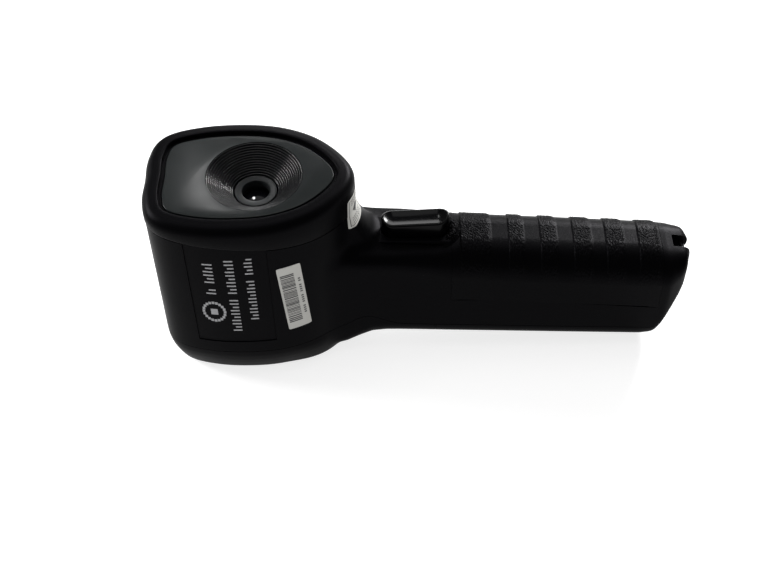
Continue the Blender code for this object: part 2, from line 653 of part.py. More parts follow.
# ---------------------------------------------------------------- optics
def make_optics():
    panel = place(loft([head_ring(-PANEL_INSET, PANEL_Z - PANEL_THICK),
                        head_ring(-PANEL_INSET, PANEL_Z)]),
                  "lens_panel", "gloss", smooth=True)
    hole = cylinder("panel_hole", None, CONE_RADIUS, 0.08, 0.10, (LENS_X, 0, 0), TURN_STEPS)
    boolean(panel, hole)

    step_r = (CONE_RADIUS - GAP - CONE_INNER) / CONE_STEPS
    step_z = CONE_DEPTH / CONE_STEPS
    profile = []
    for k in range(CONE_STEPS):
        r, z = CONE_RADIUS - GAP - k * step_r, PANEL_Z - k * step_z
        profile += [(r, z), (r - step_r * 0.6, z - step_z * 0.1)]
    bottom = PANEL_Z - CONE_DEPTH
    profile += [(CONE_INNER, bottom), (CONE_INNER, bottom - 0.0015),
                (0.0120, bottom - 0.0015), (0.0190, PANEL_Z - 0.0041),
                (0.0215, PANEL_Z - 0.0041), (0.0215, PANEL_Z - PANEL_THICK - GAP),
                (CONE_RADIUS - GAP, PANEL_Z - PANEL_THICK - GAP)]
    turned("lens_cone", "gloss", profile, (LENS_X, 0, 0), closed=True)

    nose = bottom - 0.0001
    turned("lens_barrel", "gloss",
           [(BARREL_RADIUS, nose), (BARREL_RADIUS, BARREL_BASE_Z + 0.0060),
            (0.0105, BARREL_BASE_Z + 0.0060), (0.0105, BARREL_BASE_Z),
            (0.0082, BARREL_BASE_Z), (0.0082, BARREL_BASE_Z + 0.0048),
            (0.0062, BARREL_BASE_Z + 0.0048), (0.0062, 0.0685), (0.0070, 0.0685),
            (0.0070, 0.0790),
            (APERTURE, 0.0790), (APERTURE, nose)], (LENS_X, 0, 0), closed=True)
    turned("lens_element", "glass",
           [(0.0, 0.0780), (0.0025, 0.0777), (0.0050, 0.0768), (0.0067, 0.0756),
            (0.0067, 0.0738), (0.0045, 0.0744), (0.0, 0.0746)], (LENS_X, 0, 0), 24)
    turned("lens_retainer", "steel", [(0.0067, 0.0733), (0.0067, 0.0718), (0.0052, 0.0718),
                                      (0.0052, 0.0733)], (LENS_X, 0, 0), 24, closed=True)
    ring = [(0.0102 + 0.0008 * math.cos(a), 0.0795 + 0.0008 * math.sin(a))
            for a in (2 * math.pi * k / 6 for k in range(6))]
    turned("lens_seal_ring", "rubber", ring, (LENS_X, 0, 0), 24, closed=True)

    z = 0.0560
    sensor_board = box("sensor_board", "board", (LENS_X - 0.0170, -0.0150, z),
                       (LENS_X + 0.0170, 0.0150, z + BOARD_THICK))
    bracket = box("sensor_bracket", "shell", (LENS_X - 0.0110, -0.0246, BRACKET_Z),
                  (LENS_X + 0.0110, 0.0246, BRACKET_Z + 0.0022))
    package = z + BOARD_THICK + GAP
    box("sensor_package", "chip", (LENS_X - 0.0055, -0.0055, package),
        (LENS_X + 0.0055, 0.0055, package + 0.0035), 0.0004)
    for i, side in enumerate((-1, 1)):
        y = side * 0.0128
        hole = cylinder("sensor_hole_%d" % i, None, 0.0012, z - 0.01, z + 0.01,
                        (LENS_X, y, 0), 12)
        boolean(sensor_board, hole)
        boss = cylinder("bracket_boss_%d" % i, None, 0.0026, BRACKET_Z + 0.0010, z - GAP,
                        (LENS_X, y, 0), 16)
        boolean(bracket, boss, "UNION")
        boolean(bracket, cylinder("bracket_hole_%d" % i, None, 0.0012, z - 0.0050, z + 0.01,
                                  (LENS_X, y, 0), 12))
        turned("sensor_screw_%d" % (i + 1), "steel",
               [(0.0, z + 0.0035), (0.0021, z + 0.0035),
                (0.0021, z + BOARD_THICK + GAP), (0.0009, z + BOARD_THICK + GAP),
                (0.0009, z - 0.0040), (0.0, z - 0.0040)], (LENS_X, y, 0), 12)


# ---------------------------------------------------------------- trigger
def helix(centre, radius, low, high, turns, per_turn=10):
    x, y = centre
    points = []
    for k in range(turns * per_turn + 1):
        a = 2 * math.pi * k / per_turn
        z = low + (high - low) * k / (turns * per_turn)
        points.append((x + radius * math.cos(a), y + radius * math.sin(a), z))
    return points


def trigger_surface(x):
    """Top of the button: dished, and a little higher towards the end of the handle."""
    reach = x / (TRIGGER_LENGTH / 2)
    return TRIGGER_TOP - TRIGGER_DIP * (1 - reach * reach) + 0.0007 * reach


def make_trigger():
    edge = 0.0012
    stadium_solid("trigger_button", "button", [
        (TRIGGER_LENGTH + 0.0024, TRIGGER_WIDTH + 0.0024, TRIGGER_SEAT),
        (TRIGGER_LENGTH + 0.0024, TRIGGER_WIDTH + 0.0024, TRIGGER_SEAT + 0.0016),
        (TRIGGER_LENGTH, TRIGGER_WIDTH, TRIGGER_SEAT + 0.0018),
        (TRIGGER_LENGTH, TRIGGER_WIDTH, lambda x: trigger_surface(x) - edge),
        (TRIGGER_LENGTH - 0.0008, TRIGGER_WIDTH - 0.0008,
         lambda x: trigger_surface(x) - edge * 0.3),
        (TRIGGER_LENGTH - edge * 2, TRIGGER_WIDTH - edge * 2, trigger_surface),
    ], (TRIGGER_X, 0, 0), smooth=True)
    z = TRIGGER_BOARD_Z
    box("trigger_board", "board", (TRIGGER_X - 0.0150, -0.0060, z),
        (TRIGGER_X + 0.0150, 0.0060, z + BOARD_THICK))
    base = z + BOARD_THICK + GAP
    box("trigger_switch", "chip", (TRIGGER_X + 0.0030, -0.0030, base),
        (TRIGGER_X + 0.0090, 0.0030, base + 0.0035), 0.0003)
    wire = 0.00035
    tube("trigger_spring", "steel",
         helix((TRIGGER_X - 0.0060, 0.0), 0.0026, base + wire, TRIGGER_SEAT - GAP - wire, 4),
         wire)
    route = smooth_route([(-0.0190, 0.0, z - 0.0008), (-0.0260, 0.0, z - 0.0030),
                          (-0.0330, 0.0, 0.0300), (-0.0420, 0.0, 0.0190)])
    tube("trigger_lead", "rubber", route, 0.0007)


# ---------------------------------------------------------------- display, keys and boards
def make_back():
    low, high = WINDOW_X
    box("display_window", "glass", (low, -WINDOW_HALF, RIM_RECESS),
        (high, WINDOW_HALF, 0.0016 - GAP), 0.0002)
    gasket = box("display_gasket", "rubber", (low - 0.0008, -WINDOW_HALF - 0.0008, 0.0025),
                 (high + 0.0008, WINDOW_HALF + 0.0008, 0.0033))
    boolean(gasket, box("gasket_opening", None, (low + 0.0020, -WINDOW_HALF + 0.0020, 0.0),
                        (high - 0.0020, WINDOW_HALF - 0.0020, 0.0100)))
    box("display_module", "chip", (low - 0.0008, -WINDOW_HALF - 0.0008, 0.0036),
        (high + 0.0008, WINDOW_HALF + 0.0008, 0.0062), 0.0003)

    board = box("main_board", "board", (-0.1010, -0.0125, BOARD_Z),
                (-0.0360, 0.0125, BOARD_Z + BOARD_THICK))
    for i, (x, y) in enumerate(BOARD_FIXINGS):
        boolean(board, cylinder("board_hole_%d" % i, None, 0.0012, 0.0, 0.03, (x, y, 0), 12))
        turned("board_screw_%d" % (i + 1), "steel",
               [(0.0, BOARD_Z + 0.0035), (0.0021, BOARD_Z + 0.0035),
                (0.0021, BOARD_Z + BOARD_THICK + GAP), (0.0009, BOARD_Z + BOARD_THICK + GAP),
                (0.0009, BOARD_Z - 0.0040), (0.0, BOARD_Z - 0.0040)], (x, y, 0), 12)
        if i < 2:
            turned("board_post_%d" % (i + 1), "steel",
                   [(0.0022, BOARD_Z - GAP), (0.0022, 0.0066), (0.0011, 0.0066),
                    (0.0011, BOARD_Z - GAP)], (x, y, 0), 12, closed=True)
    upper = BOARD_Z + BOARD_THICK + GAP
    box("processor_shield", "steel", (-0.0900, -0.0120, upper),
        (-0.0640, 0.0120, upper + 0.0028), 0.0004)
    cylinder("buzzer", "chip", 0.0048, upper, upper + 0.0045, (-0.0530, -0.0075, 0), 24)
    for name, (x, y) in KEY_PLACES.items():
        turned(name, "rubber", [
            (0.0, RIM_RECESS - 0.0001), (KEY_RADIUS - 0.0004, RIM_RECESS - 0.0001),
            (KEY_RADIUS, RIM_RECESS + 0.0004), (KEY_RADIUS, 0.0022 + GAP + KEY_TRAVEL),
            (0.0015, 0.0022 + GAP + KEY_TRAVEL), (0.0015, 0.0096), (0.0, 0.0096)],
            (x, y, 0), 20)
        box(name.replace("key_", "switch_"), "chip", (x - 0.0022, y - 0.0022, 0.0106),
            (x + 0.0022, y + 0.0022, BOARD_Z - GAP), 0.0002)
    for i, (x, y, face) in enumerate(COVER_SCREWS):
        turned("cover_screw_%d" % (i + 1), "steel",
               [(0.0, face + 0.0010), (0.0023, face + 0.0010), (0.0023, face + 0.0027),
                (0.0011, face + 0.0027), (0.0011, 0.0260), (0.0, 0.0260)], (x, y, 0), 12)
    route = smooth_route([(LENS_X + 0.0180, 0.0040, 0.0568), (LENS_X + 0.0235, 0.0040, 0.0540),
                          (LENS_X + 0.0240, 0.0040, 0.0300),
                          (LENS_X + 0.0200, 0.0040, 0.0180)])
    ribbon(route, 0.0080, 0.0003)


def ribbon(route, width, thickness):
    """Flat flexible strip along a route in a plane of constant Y."""
    rings = []
    for i, point in enumerate(route):
        after, before = route[min(i + 1, len(route) - 1)], route[max(i - 1, 0)]
        along = (after - before).normalized()
        across = Vector((-along.z, 0.0, along.x)) * thickness / 2
        side = Vector((0.0, width / 2, 0.0))
        rings.append([point + across + side, point + across - side,
                      point - across - side, point - across + side])
    return place(loft(rings), "sensor_ribbon", "copper")


# ---------------------------------------------------------------- battery and handle end
def make_battery():
    x, z = CELL_CENTRE
    at, tilt = (x, 0.0, z), DOOR_TILT
    half, r = CELL_LENGTH / 2, CELL_RADIUS
    cell = cylinder("battery_cell", "cell", r, -half, half, at, 32, tilt, "X")
    boolean(cell, cylinder("cell_button", None, 0.0030, -half - 0.0010, -half + 0.0050, at,
                           16, tilt, "X"), "UNION")
    tray = box("battery_tray", "shell", (-half - 0.0070, -0.0115, -r - 0.0008),
               (half + 0.0080, 0.0115, r + 0.0022), 0.0, at, tilt)
    boolean(tray, box("tray_cut", None, (-half - 0.0055, -0.0098, -r - 0.0100),
                      (half + 0.0065, 0.0098, r + 0.0006), 0.0, at, tilt))
    box("battery_contact_plate", "steel", (-half - 0.0050, -0.0050, -0.0050),
        (-half - 0.0013, 0.0050, 0.0050), 0.0004, at, tilt)
    wire = 0.0004
    turns = helix((0.0, 0.0), 0.0032, half + GAP + wire, half + 0.0060 - wire, 3)
    turned_points = []
    for px, py, pz in turns:
        turned_points.append((x + pz * math.cos(tilt) + px * math.sin(tilt), py,
                              z - pz * math.sin(tilt) + px * math.cos(tilt)))
    tube("battery_contact_spring", "steel", turned_points, wire)
    box("charger_board", "board", (0.0560, -0.0090, 0.0345), (0.0960, 0.0090, 0.0361))
    lead = smooth_route([(0.0540, 0.0, 0.0353), (0.0400, 0.0, 0.0370), (0.0100, 0.0, 0.0370),
                         (-0.0200, 0.0, 0.0280), (-0.0330, 0.0060, 0.0190)])
    tube("battery_lead", "rubber", lead, 0.0009)


def make_handle_end():
    cylinder("strap_bar", "steel", 0.0011, -0.0031, 0.0031, (0.1077, 0.0, 0.0442), 16,
             axis="Y")
    connector = box("usb_connector", "steel", (-0.0086, -0.0038, -0.0014),
                    (-0.0032, 0.0038, 0.0014), 0.0, CHAMFER_AT, CHAMFER_TILT)
    boolean(connector, box("usb_mouth", None, (-0.0070, -0.0034, -0.0010),
                           (0.0, 0.0034, 0.0010), 0.0, CHAMFER_AT, CHAMFER_TILT))
    # the flap turns on its upper outer edge, so its origin is there
    hinge = (CHAMFER_AT[0] + FLAP_HALF[1] * math.sin(CHAMFER_TILT), 0.0,
             CHAMFER_AT[2] + FLAP_HALF[1] * math.cos(CHAMFER_TILT))
    flap = box("usb_flap", "rubber", (-FLAP_THICK, -FLAP_HALF[0], -2 * FLAP_HALF[1]),
               (0.0, FLAP_HALF[0], 0.0), 0.0, hinge, CHAMFER_TILT)
    boolean(flap, box("flap_plug", None, (-0.0026, -0.0050, -FLAP_HALF[1] - 0.0014),
                      (-FLAP_THICK / 2, 0.0050, -FLAP_HALF[1] + 0.0014), 0.0, hinge,
                      CHAMFER_TILT), "UNION")


# ---------------------------------------------------------------- build
make_housing()
make_rear_cover()
make_battery_door()
make_bezel()
make_grip_sleeve()
make_optics()
make_trigger()
make_back()
make_battery()
make_handle_end()
plate = place(wall_patch(PLATE_CENTRE, PLATE_WIDTH, PLATE_HEIGHT, BODY_OUT - PLATE_DEPTH,
                         BODY_OUT + 0.0001, columns=10), "name_plate", "shell")
boolean(plate, behind_front_seam("plate_top", -GAP), "INTERSECT")
place(wall_patch((side_distance(-0.0560), 0.0484), 0.0098, 0.0375, BODY_OUT + 0.0001,
                 BODY_OUT + 0.0003, math.radians(-4.7), columns=4),
      "barcode_label", "paper")
place(wall_patch((0.0030, 0.0807), 0.0090, 0.0115, BEZEL_OUT + 0.0003, BEZEL_OUT + 0.0005,
                 math.radians(38), columns=8, rows=6), "seal_label", "paper")
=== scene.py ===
"""Looks of the handheld thermal imaging camera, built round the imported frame."""
import bisect
import json
import math
import random
from itertools import accumulate

import bmesh
import bpy
import numpy as np
from mathutils import Matrix, Vector, noise
from mathutils.bvhtree import BVHTree


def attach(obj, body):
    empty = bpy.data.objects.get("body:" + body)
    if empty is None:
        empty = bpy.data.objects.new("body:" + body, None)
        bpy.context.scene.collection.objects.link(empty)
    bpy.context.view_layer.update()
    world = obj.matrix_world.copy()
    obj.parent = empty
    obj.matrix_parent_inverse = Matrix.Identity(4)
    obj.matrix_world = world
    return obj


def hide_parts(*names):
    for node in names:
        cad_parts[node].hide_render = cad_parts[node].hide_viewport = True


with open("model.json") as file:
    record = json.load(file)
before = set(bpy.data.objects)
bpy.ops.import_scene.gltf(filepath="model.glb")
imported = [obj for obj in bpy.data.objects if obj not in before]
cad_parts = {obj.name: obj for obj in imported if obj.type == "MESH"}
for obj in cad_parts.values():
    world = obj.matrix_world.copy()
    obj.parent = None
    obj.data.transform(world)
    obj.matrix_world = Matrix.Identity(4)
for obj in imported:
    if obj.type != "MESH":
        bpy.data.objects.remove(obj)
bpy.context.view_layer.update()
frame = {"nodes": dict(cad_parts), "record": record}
NODES = frame["nodes"]


# ---------------------------------------------------------------- stage, camera and light
CAMERA_TARGET = Vector((-0.0178, 0.0, 0.0208))
CAMERA_PITCH = math.radians(49.5)
CAMERA_YAW = math.radians(0.44)
CAMERA_ROLL = math.radians(-1.13)
CAMERA_DISTANCE = 0.577
CAMERA_LENS = 62.34


def make_camera():
    forward = Vector((-math.sin(CAMERA_YAW) * math.cos(CAMERA_PITCH),
                      math.cos(CAMERA_YAW) * math.cos(CAMERA_PITCH),
                      -math.sin(CAMERA_PITCH)))
    level = Vector((math.cos(CAMERA_YAW), math.sin(CAMERA_YAW), 0.0))
    top = level.cross(forward)
    right = level * math.cos(CAMERA_ROLL) + top * math.sin(CAMERA_ROLL)
    up = top * math.cos(CAMERA_ROLL) - level * math.sin(CAMERA_ROLL)
    data = bpy.data.cameras.new("camera")
    data.lens = CAMERA_LENS
    data.sensor_width = 36.0
    data.clip_start = 0.01
    camera = bpy.data.objects.new("camera", data)
    turn = Matrix((right, up, -forward)).transposed().to_4x4()
    camera.matrix_world = Matrix.Translation(CAMERA_TARGET - forward * CAMERA_DISTANCE) @ turn
    bpy.context.scene.collection.objects.link(camera)
    bpy.context.scene.camera = camera


def area_light(name, at, aim, size, power):
    data = bpy.data.lights.new(name, "AREA")
    data.shape = "RECTANGLE"
    data.size, data.size_y = size
    data.energy = power
    light = bpy.data.objects.new(name, data)
    light.location = at
    light.rotation_euler = (Vector(aim) - Vector(at)).to_track_quat("-Z", "Y").to_euler()
    bpy.context.scene.collection.objects.link(light)


def make_stage():
    bm = bmesh.new()
    bmesh.ops.create_grid(bm, x_segments=1, y_segments=1, size=9.0)
    mesh = bpy.data.meshes.new("floor")
    bm.to_mesh(mesh)
    bm.free()
    floor = bpy.data.objects.new("floor", mesh)
    floor.location = (0.0, 0.0, -0.0003)
    bpy.context.scene.collection.objects.link(floor)
    mat = bpy.data.materials.new("floor")
    mat.use_nodes = True
    shader = mat.node_tree.nodes["Principled BSDF"]
    shader.inputs["Base Color"].default_value = (0.42, 0.42, 0.42, 1.0)
    shader.inputs["Emission Color"].default_value = (1.0, 1.0, 1.0, 1.0)
    shader.inputs["Emission Strength"].default_value = 0.78
    shader.inputs["Roughness"].default_value = 0.9
    shader.inputs["Specular IOR Level"].default_value = 0.1
    mesh.materials.append(mat)

    world = bpy.data.worlds.new("studio")
    bpy.context.scene.world = world
    world.use_nodes = True
    back = world.node_tree.nodes["Background"]
    back.inputs["Color"].default_value = (1.0, 1.0, 1.0, 1.0)
    back.inputs["Strength"].default_value = 0.25
    area_light("back", (0.20, 0.85, 0.45), (0.0, 0.0, 0.03), (0.9, 0.35), 9.0)
    area_light("top", (-0.10, 0.10, 0.95), (0.0, 0.0, 0.03), (0.8, 0.6), 3.0)
    area_light("end", (0.46, 0.74, 0.46), (0.10, 0.0, 0.045), (0.20, 0.20), 14.0)
    area_light("left", (-0.75, 0.25, 0.45), (-0.08, 0.0, 0.06), (0.4, 0.3), 12.0)
    area_light("sheen", (-0.22, 0.55, 0.64), (-0.09, 0.0, 0.09), (0.05, 0.10), 0.45)
    bpy.context.scene.view_settings.view_transform = "Standard"


# ---------------------------------------------------------------- materials
def surface(name, colour, roughness, metallic=0.0, specular=0.5, grain=0.0, mottle=0.15,
            mottle_scale=60.0, tint=(1.0, 1.0, 1.0)):
    """Plastic or metal with uneven colour, uneven roughness and a fine moulded grain."""
    mat = bpy.data.materials.new(name)
    mat.use_nodes = True
    nodes, links = mat.node_tree.nodes, mat.node_tree.links
    shader = nodes["Principled BSDF"]
    shader.inputs["Metallic"].default_value = metallic
    shader.inputs["Specular IOR Level"].default_value = specular
    shader.inputs["Specular Tint"].default_value = (*tint, 1.0)
    where = nodes.new("ShaderNodeTexCoord")
    cloud = nodes.new("ShaderNodeTexNoise")
    cloud.inputs["Scale"].default_value = mottle_scale
    cloud.inputs["Detail"].default_value = 5.0
    links.new(where.outputs["Object"], cloud.inputs["Vector"])
    ramp = nodes.new("ShaderNodeValToRGB")
    for stop, factor in zip(ramp.color_ramp.elements, (1.0 - mottle, 1.0 + mottle)):
        stop.color = (*(c * factor for c in colour), 1.0)
    ramp.color_ramp.elements[0].position = 0.3
    ramp.color_ramp.elements[1].position = 0.7
    links.new(cloud.outputs["Fac"], ramp.inputs["Fac"])
    links.new(ramp.outputs["Color"], shader.inputs["Base Color"])
    span = nodes.new("ShaderNodeMapRange")
    span.inputs["To Min"].default_value = max(roughness - 0.06, 0.02)
    span.inputs["To Max"].default_value = min(roughness + 0.06, 1.0)
    links.new(cloud.outputs["Fac"], span.inputs["Value"])
    links.new(span.outputs["Result"], shader.inputs["Roughness"])
    if grain:
        fine = nodes.new("ShaderNodeTexNoise")
        fine.inputs["Scale"].default_value = 4000.0
        fine.inputs["Detail"].default_value = 3.0
        links.new(where.outputs["Object"], fine.inputs["Vector"])
        bump = nodes.new("ShaderNodeBump")
        bump.inputs["Strength"].default_value = grain
        bump.inputs["Distance"].default_value = 0.00005
        links.new(fine.outputs["Fac"], bump.inputs["Height"])
        links.new(bump.outputs["Normal"], shader.inputs["Normal"])
    return mat


MATERIALS = {
    "shell": surface("shell", (0.0010, 0.0010, 0.0012), 0.40, specular=0.018, grain=0.35,
                     mottle=0.05, tint=(0.98, 0.93, 1.08)),
    "gloss": surface("gloss", (0.0082, 0.0094, 0.0095), 0.20, specular=0.10, mottle=0.06),
    # groove: painted shade, a colour darker than the shell that stands in for the shade down in
    # the lens cone's grooves
    "groove": surface("groove", (0.0004, 0.0004, 0.0005), 0.40, specular=0.006, mottle=0.1),
    # ribs: painted highlight, a lighter and glossier colour than the cone's body, so the crest
    # rings read as bright lines
    "ribs": surface("ribs", (0.0085, 0.0090, 0.0098), 0.22, specular=0.60, mottle=0.1),
    "nose": surface("nose", (0.0095, 0.0105, 0.0110), 0.30, specular=0.12, mottle=0.1),
    "lens": surface("lens", (0.002, 0.002, 0.003), 0.05, specular=0.8, mottle=0.3),
    "button": surface("button", (0.0006, 0.0006, 0.0008), 0.16, specular=0.075, mottle=0.05),
    "rubber": surface("rubber", (0.0010, 0.0010, 0.0012), 0.38, specular=0.019, grain=0.9,
                      mottle=0.05, tint=(0.98, 0.94, 1.06)),
    "paper": surface("paper", (0.42, 0.415, 0.39), 0.55, mottle=0.04, grain=0.2),
    "print": surface("print", (0.27, 0.27, 0.28), 0.55, mottle=0.08, mottle_scale=400.0),
    "pin": surface("pin", (0.03, 0.03, 0.032), 0.35, metallic=1.0, mottle=0.2),
    "ink": surface("ink", (0.010, 0.010, 0.011), 0.45, mottle=0.1, mottle_scale=400.0),
    "glass": surface("glass", (0.006, 0.006, 0.009), 0.06, specular=0.6, mottle=0.3),
    "board": surface("board", (0.012, 0.085, 0.035), 0.45, mottle=0.35, mottle_scale=700.0),
    "chip": surface("chip", (0.012, 0.012, 0.013), 0.45, grain=0.4),
    "ribbon": surface("ribbon", (0.45, 0.24, 0.07), 0.35, mottle=0.2),
    "cell": surface("cell", (0.03, 0.12, 0.32), 0.35, mottle=0.1),
    "steel": surface("steel", (0.52, 0.52, 0.53), 0.30, metallic=1.0, mottle=0.08,
                     grain=0.3),
}
SLOT_OF = {entry["node"]: entry["material_slot"] for entry in frame["record"]["subparts"]}


def finish_nodes():
    """Every CAD node that is still shown takes its slot's material."""
    for name, obj in NODES.items():
        obj.data.materials.clear()
        obj.data.materials.append(MATERIALS[SLOT_OF[name]])


# ---------------------------------------------------------------- outlines, as in the CAD
RIM_HALF = [(-0.1052, 0.0), (-0.1052, 0.0110), (-0.1018, 0.0195), (-0.0890, 0.0237),
            (-0.0735, 0.0246), (-0.0600, 0.0229), (-0.0478, 0.0175), (-0.0384, 0.0083),
            (-0.0350, 0.0)]
BEZEL_OUT = 0.0065
BODY_OUT = 0.0062
WALL = 0.0022
HANDLE_WALL = 0.0026
CAVITY_END = 0.1050
GAP = 0.0003
FRONT_Z = 0.0916
FRONT_FORM_Z = 0.0868
FRONT_SEAM_Z = 0.0800
FRONT_RING_END = -0.0243
FRONT_SEAM_SLOPE = -0.105
SEAM_LEVEL_X = -0.0720
REAR_SEAM_Z = 0.0170
NECK_WAVE = 0.0055
NECK_WAVE_X = -0.0250
NECK_WAVE_REACH = 0.0085
NECK_END = -0.0150
HANDLE_SLOPE = -0.0468
PANEL_Z = 0.0905
PANEL_INSET = 0.0017
LEDGE_INSET = 0.0014
LENS_X = -0.0682
SMALL_EDGE = 0.0010
# x, half width, back z, front z, back edge radius, front edge radius
HANDLE = [
    (-0.0500, 0.0200, 0.0050, 0.0600, 0.0040, 0.0050),
    (-0.0440, 0.0205, 0.0045, 0.0600, 0.0040, 0.0050),
    (-0.0390, 0.0190, 0.0040, 0.0600, 0.0050, 0.0060),
    (-0.0340, 0.0178, 0.0036, 0.0598, 0.0060, 0.0060),
    (-0.0290, 0.0171, 0.0054, 0.0586, 0.0070, 0.0060),
    (-0.0230, 0.0167, 0.0076, 0.0579, 0.0080, 0.0060),
    (-0.0170, 0.0165, 0.0081, 0.0576, 0.0080, 0.0060),
    (-0.0110, 0.0165, 0.0080, 0.0574, 0.0080, 0.0062),
    (0.0040, 0.0165, 0.0073, 0.0567, 0.0080, 0.0080),
    (0.0142, 0.0165, 0.0068, 0.0578, 0.0080, 0.0128),
    (0.0240, 0.0165, 0.00636, 0.0572, 0.0080, 0.0130),
    (0.0620, 0.0165, 0.00458, 0.0542, 0.0080, 0.0130),
    (0.0930, 0.0164, 0.0031, 0.0516, 0.0080, 0.0130),
    (0.0975, 0.0163, 0.0037, 0.0506, 0.0080, 0.0120),
    (0.0990, 0.0162, 0.0048, 0.0501, 0.0080, 0.0115),
    (0.1008, 0.0163, 0.0087, 0.0495, 0.0078, 0.0110),
    (0.1023, 0.0158, 0.0130, 0.0494, 0.0071, 0.0107),
    (0.1038, 0.0149, 0.0174, 0.0492, 0.0064, 0.0100),
    (0.1052, 0.0140, 0.0217, 0.0490, 0.0057, 0.0088),
    (0.1066, 0.0130, 0.0260, 0.0488, 0.0049, 0.0075),
    (0.1078, 0.0118, 0.0302, 0.0486, 0.0041, 0.0062),
    (0.1086, 0.0102, 0.0344, 0.0482, 0.0033, 0.0050),
    (0.1090, 0.0084, 0.0386, 0.0478, 0.0025, 0.0038),
    (0.1094, 0.0064, 0.0428, 0.0475, 0.0017, 0.0026),
    (0.1101, 0.0048, 0.0438, 0.0470, 0.0010, 0.0013),
]
TAIL_START = 0.0975
# the fillet between head and handle: height, and how far it stands out from the housing
FILLET = [(0.0560, 0.0120), (0.0581, 0.0120), (0.0585, 0.0096), (0.0593, 0.0081),
          (0.0603, 0.0065), (0.0624, 0.0050), (0.0657, 0.0033), (0.0715, 0.0011),
          (0.0755, 0.0002), (0.0800, 0.0)]
FILLET_HALF = 0.0090


def spline_point(a, b, c, d, t):
    """Point on a smooth curve between b and c, at a share t of the way."""
    return 0.5 * (2 * b + (c - a) * t + (2 * a - 5 * b + 4 * c - d) * t ** 2
                  + (3 * b - a - 3 * c + d) * t ** 3)


def rim_polyline(per_span=60):
    """Closed smooth outline of the head through its few driving points."""
    pts = [Vector(p) for p in RIM_HALF]
    pts += [Vector((p.x, -p.y)) for p in reversed(pts[1:-1])]
    count = len(pts)
    return [spline_point(*(pts[(i + k) % count] for k in (-1, 0, 1, 2)), j / per_span)
            for i in range(count) for j in range(per_span)]


RIM = rim_polyline()
RIM_AHEAD = 7
RIM_STEPS = [(RIM[(i + 1) % len(RIM)] - RIM[i]).length for i in range(len(RIM))]
RIM_REACH = [0.0, *accumulate(RIM_STEPS)]
RIM_LENGTH = RIM_REACH[-1]


def rim_at(distance, offset=0.0):
    """Point at a distance along the rim past the handle-side tip, moved outward."""
    target = (RIM_LENGTH / 2 + distance) % RIM_LENGTH
    i = min(bisect.bisect_right(RIM_REACH, target) - 1, len(RIM) - 1)
    a, b = RIM[i], RIM[(i + 1) % len(RIM)]
    along = (RIM[(i + RIM_AHEAD) % len(RIM)] - RIM[i + 1 - RIM_AHEAD]).normalized()
    outward = Vector((-along.y, along.x))
    return a.lerp(b, (target - RIM_REACH[i]) / RIM_STEPS[i]) + outward * offset


def side_distance(x):
    """Distance along the rim, on the near (-Y) side, where it passes x."""
    distance = 0.0
    while rim_at(distance).x > x:
        distance += 0.0002
    return distance


def head_ring(offset, z, count):
    """Outline of the head at a height, moved outward by offset."""
    return [(*rim_at(RIM_LENGTH * k / count, offset), z) for k in range(count)]


def handle_at(x):
    """Section sizes at x, between the two nearest stations."""
    i = 0
    while i < len(HANDLE) - 2 and x > HANDLE[i + 1][0]:
        i += 1
    low, high = HANDLE[i], HANDLE[i + 1]
    t = min(max((x - low[0]) / (high[0] - low[0]), 0.0), 1.0)
    return [a + (b - a) * t for a, b in zip(low[1:], high[1:])]


def corner(cy, cz, radius, first, steps):
    """Quarter circle of points, starting at the angle first (in quarters)."""
    angles = [(first + k / steps) * math.pi / 2 for k in range(steps + 1)]
    return [(cy + radius * math.cos(a), cz + radius * math.sin(a)) for a in angles]


def handle_ring(x, inset=0.0, shift=0.0, steps=10):
    """Rounded rectangle across the handle at x, moved inward by inset."""
    w, back, front, r_back, r_front = handle_at(x)
    w, back, front = w - inset, back + inset, front - inset
    r_back, r_front = max(r_back - inset, SMALL_EDGE), max(r_front - inset, SMALL_EDGE)
    points = (corner(w - r_front, front - r_front, r_front, 0, steps)
              + corner(-w + r_front, front - r_front, r_front, 1, steps)
              + corner(-w + r_back, back + r_back, r_back, 2, steps)
              + corner(w - r_back, back + r_back, r_back, 3, steps))
    return [(x + shift, y, z) for y, z in points]


def seam_height(x):
    """Seam of the rear cover and the battery door; it waves up beside the neck."""
    wave = NECK_WAVE * math.exp(-((x - NECK_WAVE_X) / NECK_WAVE_REACH) ** 2)
    return REAR_SEAM_Z + wave + HANDLE_SLOPE * max(x - NECK_END, 0.0)


def front_seam(x):
    """Seam of the front ring, which falls towards the handle."""
    return FRONT_SEAM_Z + FRONT_SEAM_SLOPE * (x - SEAM_LEVEL_X)


# ---------------------------------------------------------------- mesh helpers
def as_object(bm, name, material=None, body="camera", smooth=True, angle=40):
    """A bmesh becomes a piece on a body; with no material it is only a helper."""
    bmesh.ops.recalc_face_normals(bm, faces=bm.faces)
    mesh = bpy.data.meshes.new(name)
    bm.to_mesh(mesh)
    bm.free()
    obj = bpy.data.objects.new(name, mesh)
    bpy.context.scene.collection.objects.link(obj)
    if smooth:
        mesh.shade_smooth()
        mesh.set_sharp_from_angle(angle=math.radians(angle))
    if material:
        mesh.materials.append(MATERIALS[material])
        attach(obj, body)
    return obj


def skin(rings, closed_loop=False, caps=True):
    """Faces between rings of equal counts; the rings may close into a torus."""
    bm = bmesh.new()
    loops = [[bm.verts.new(p) for p in ring] for ring in rings]
    count = len(loops[0])
    pairs = list(zip(loops, loops[1:]))
    if closed_loop:
        pairs.append((loops[-1], loops[0]))
    for low, high in pairs:
        for i in range(count):
            j = (i + 1) % count
            bm.faces.new((low[i], low[j], high[j], high[i]))
    if caps and not closed_loop:
        bm.faces.new(loops[0])
        bm.faces.new(loops[-1])
    return bm


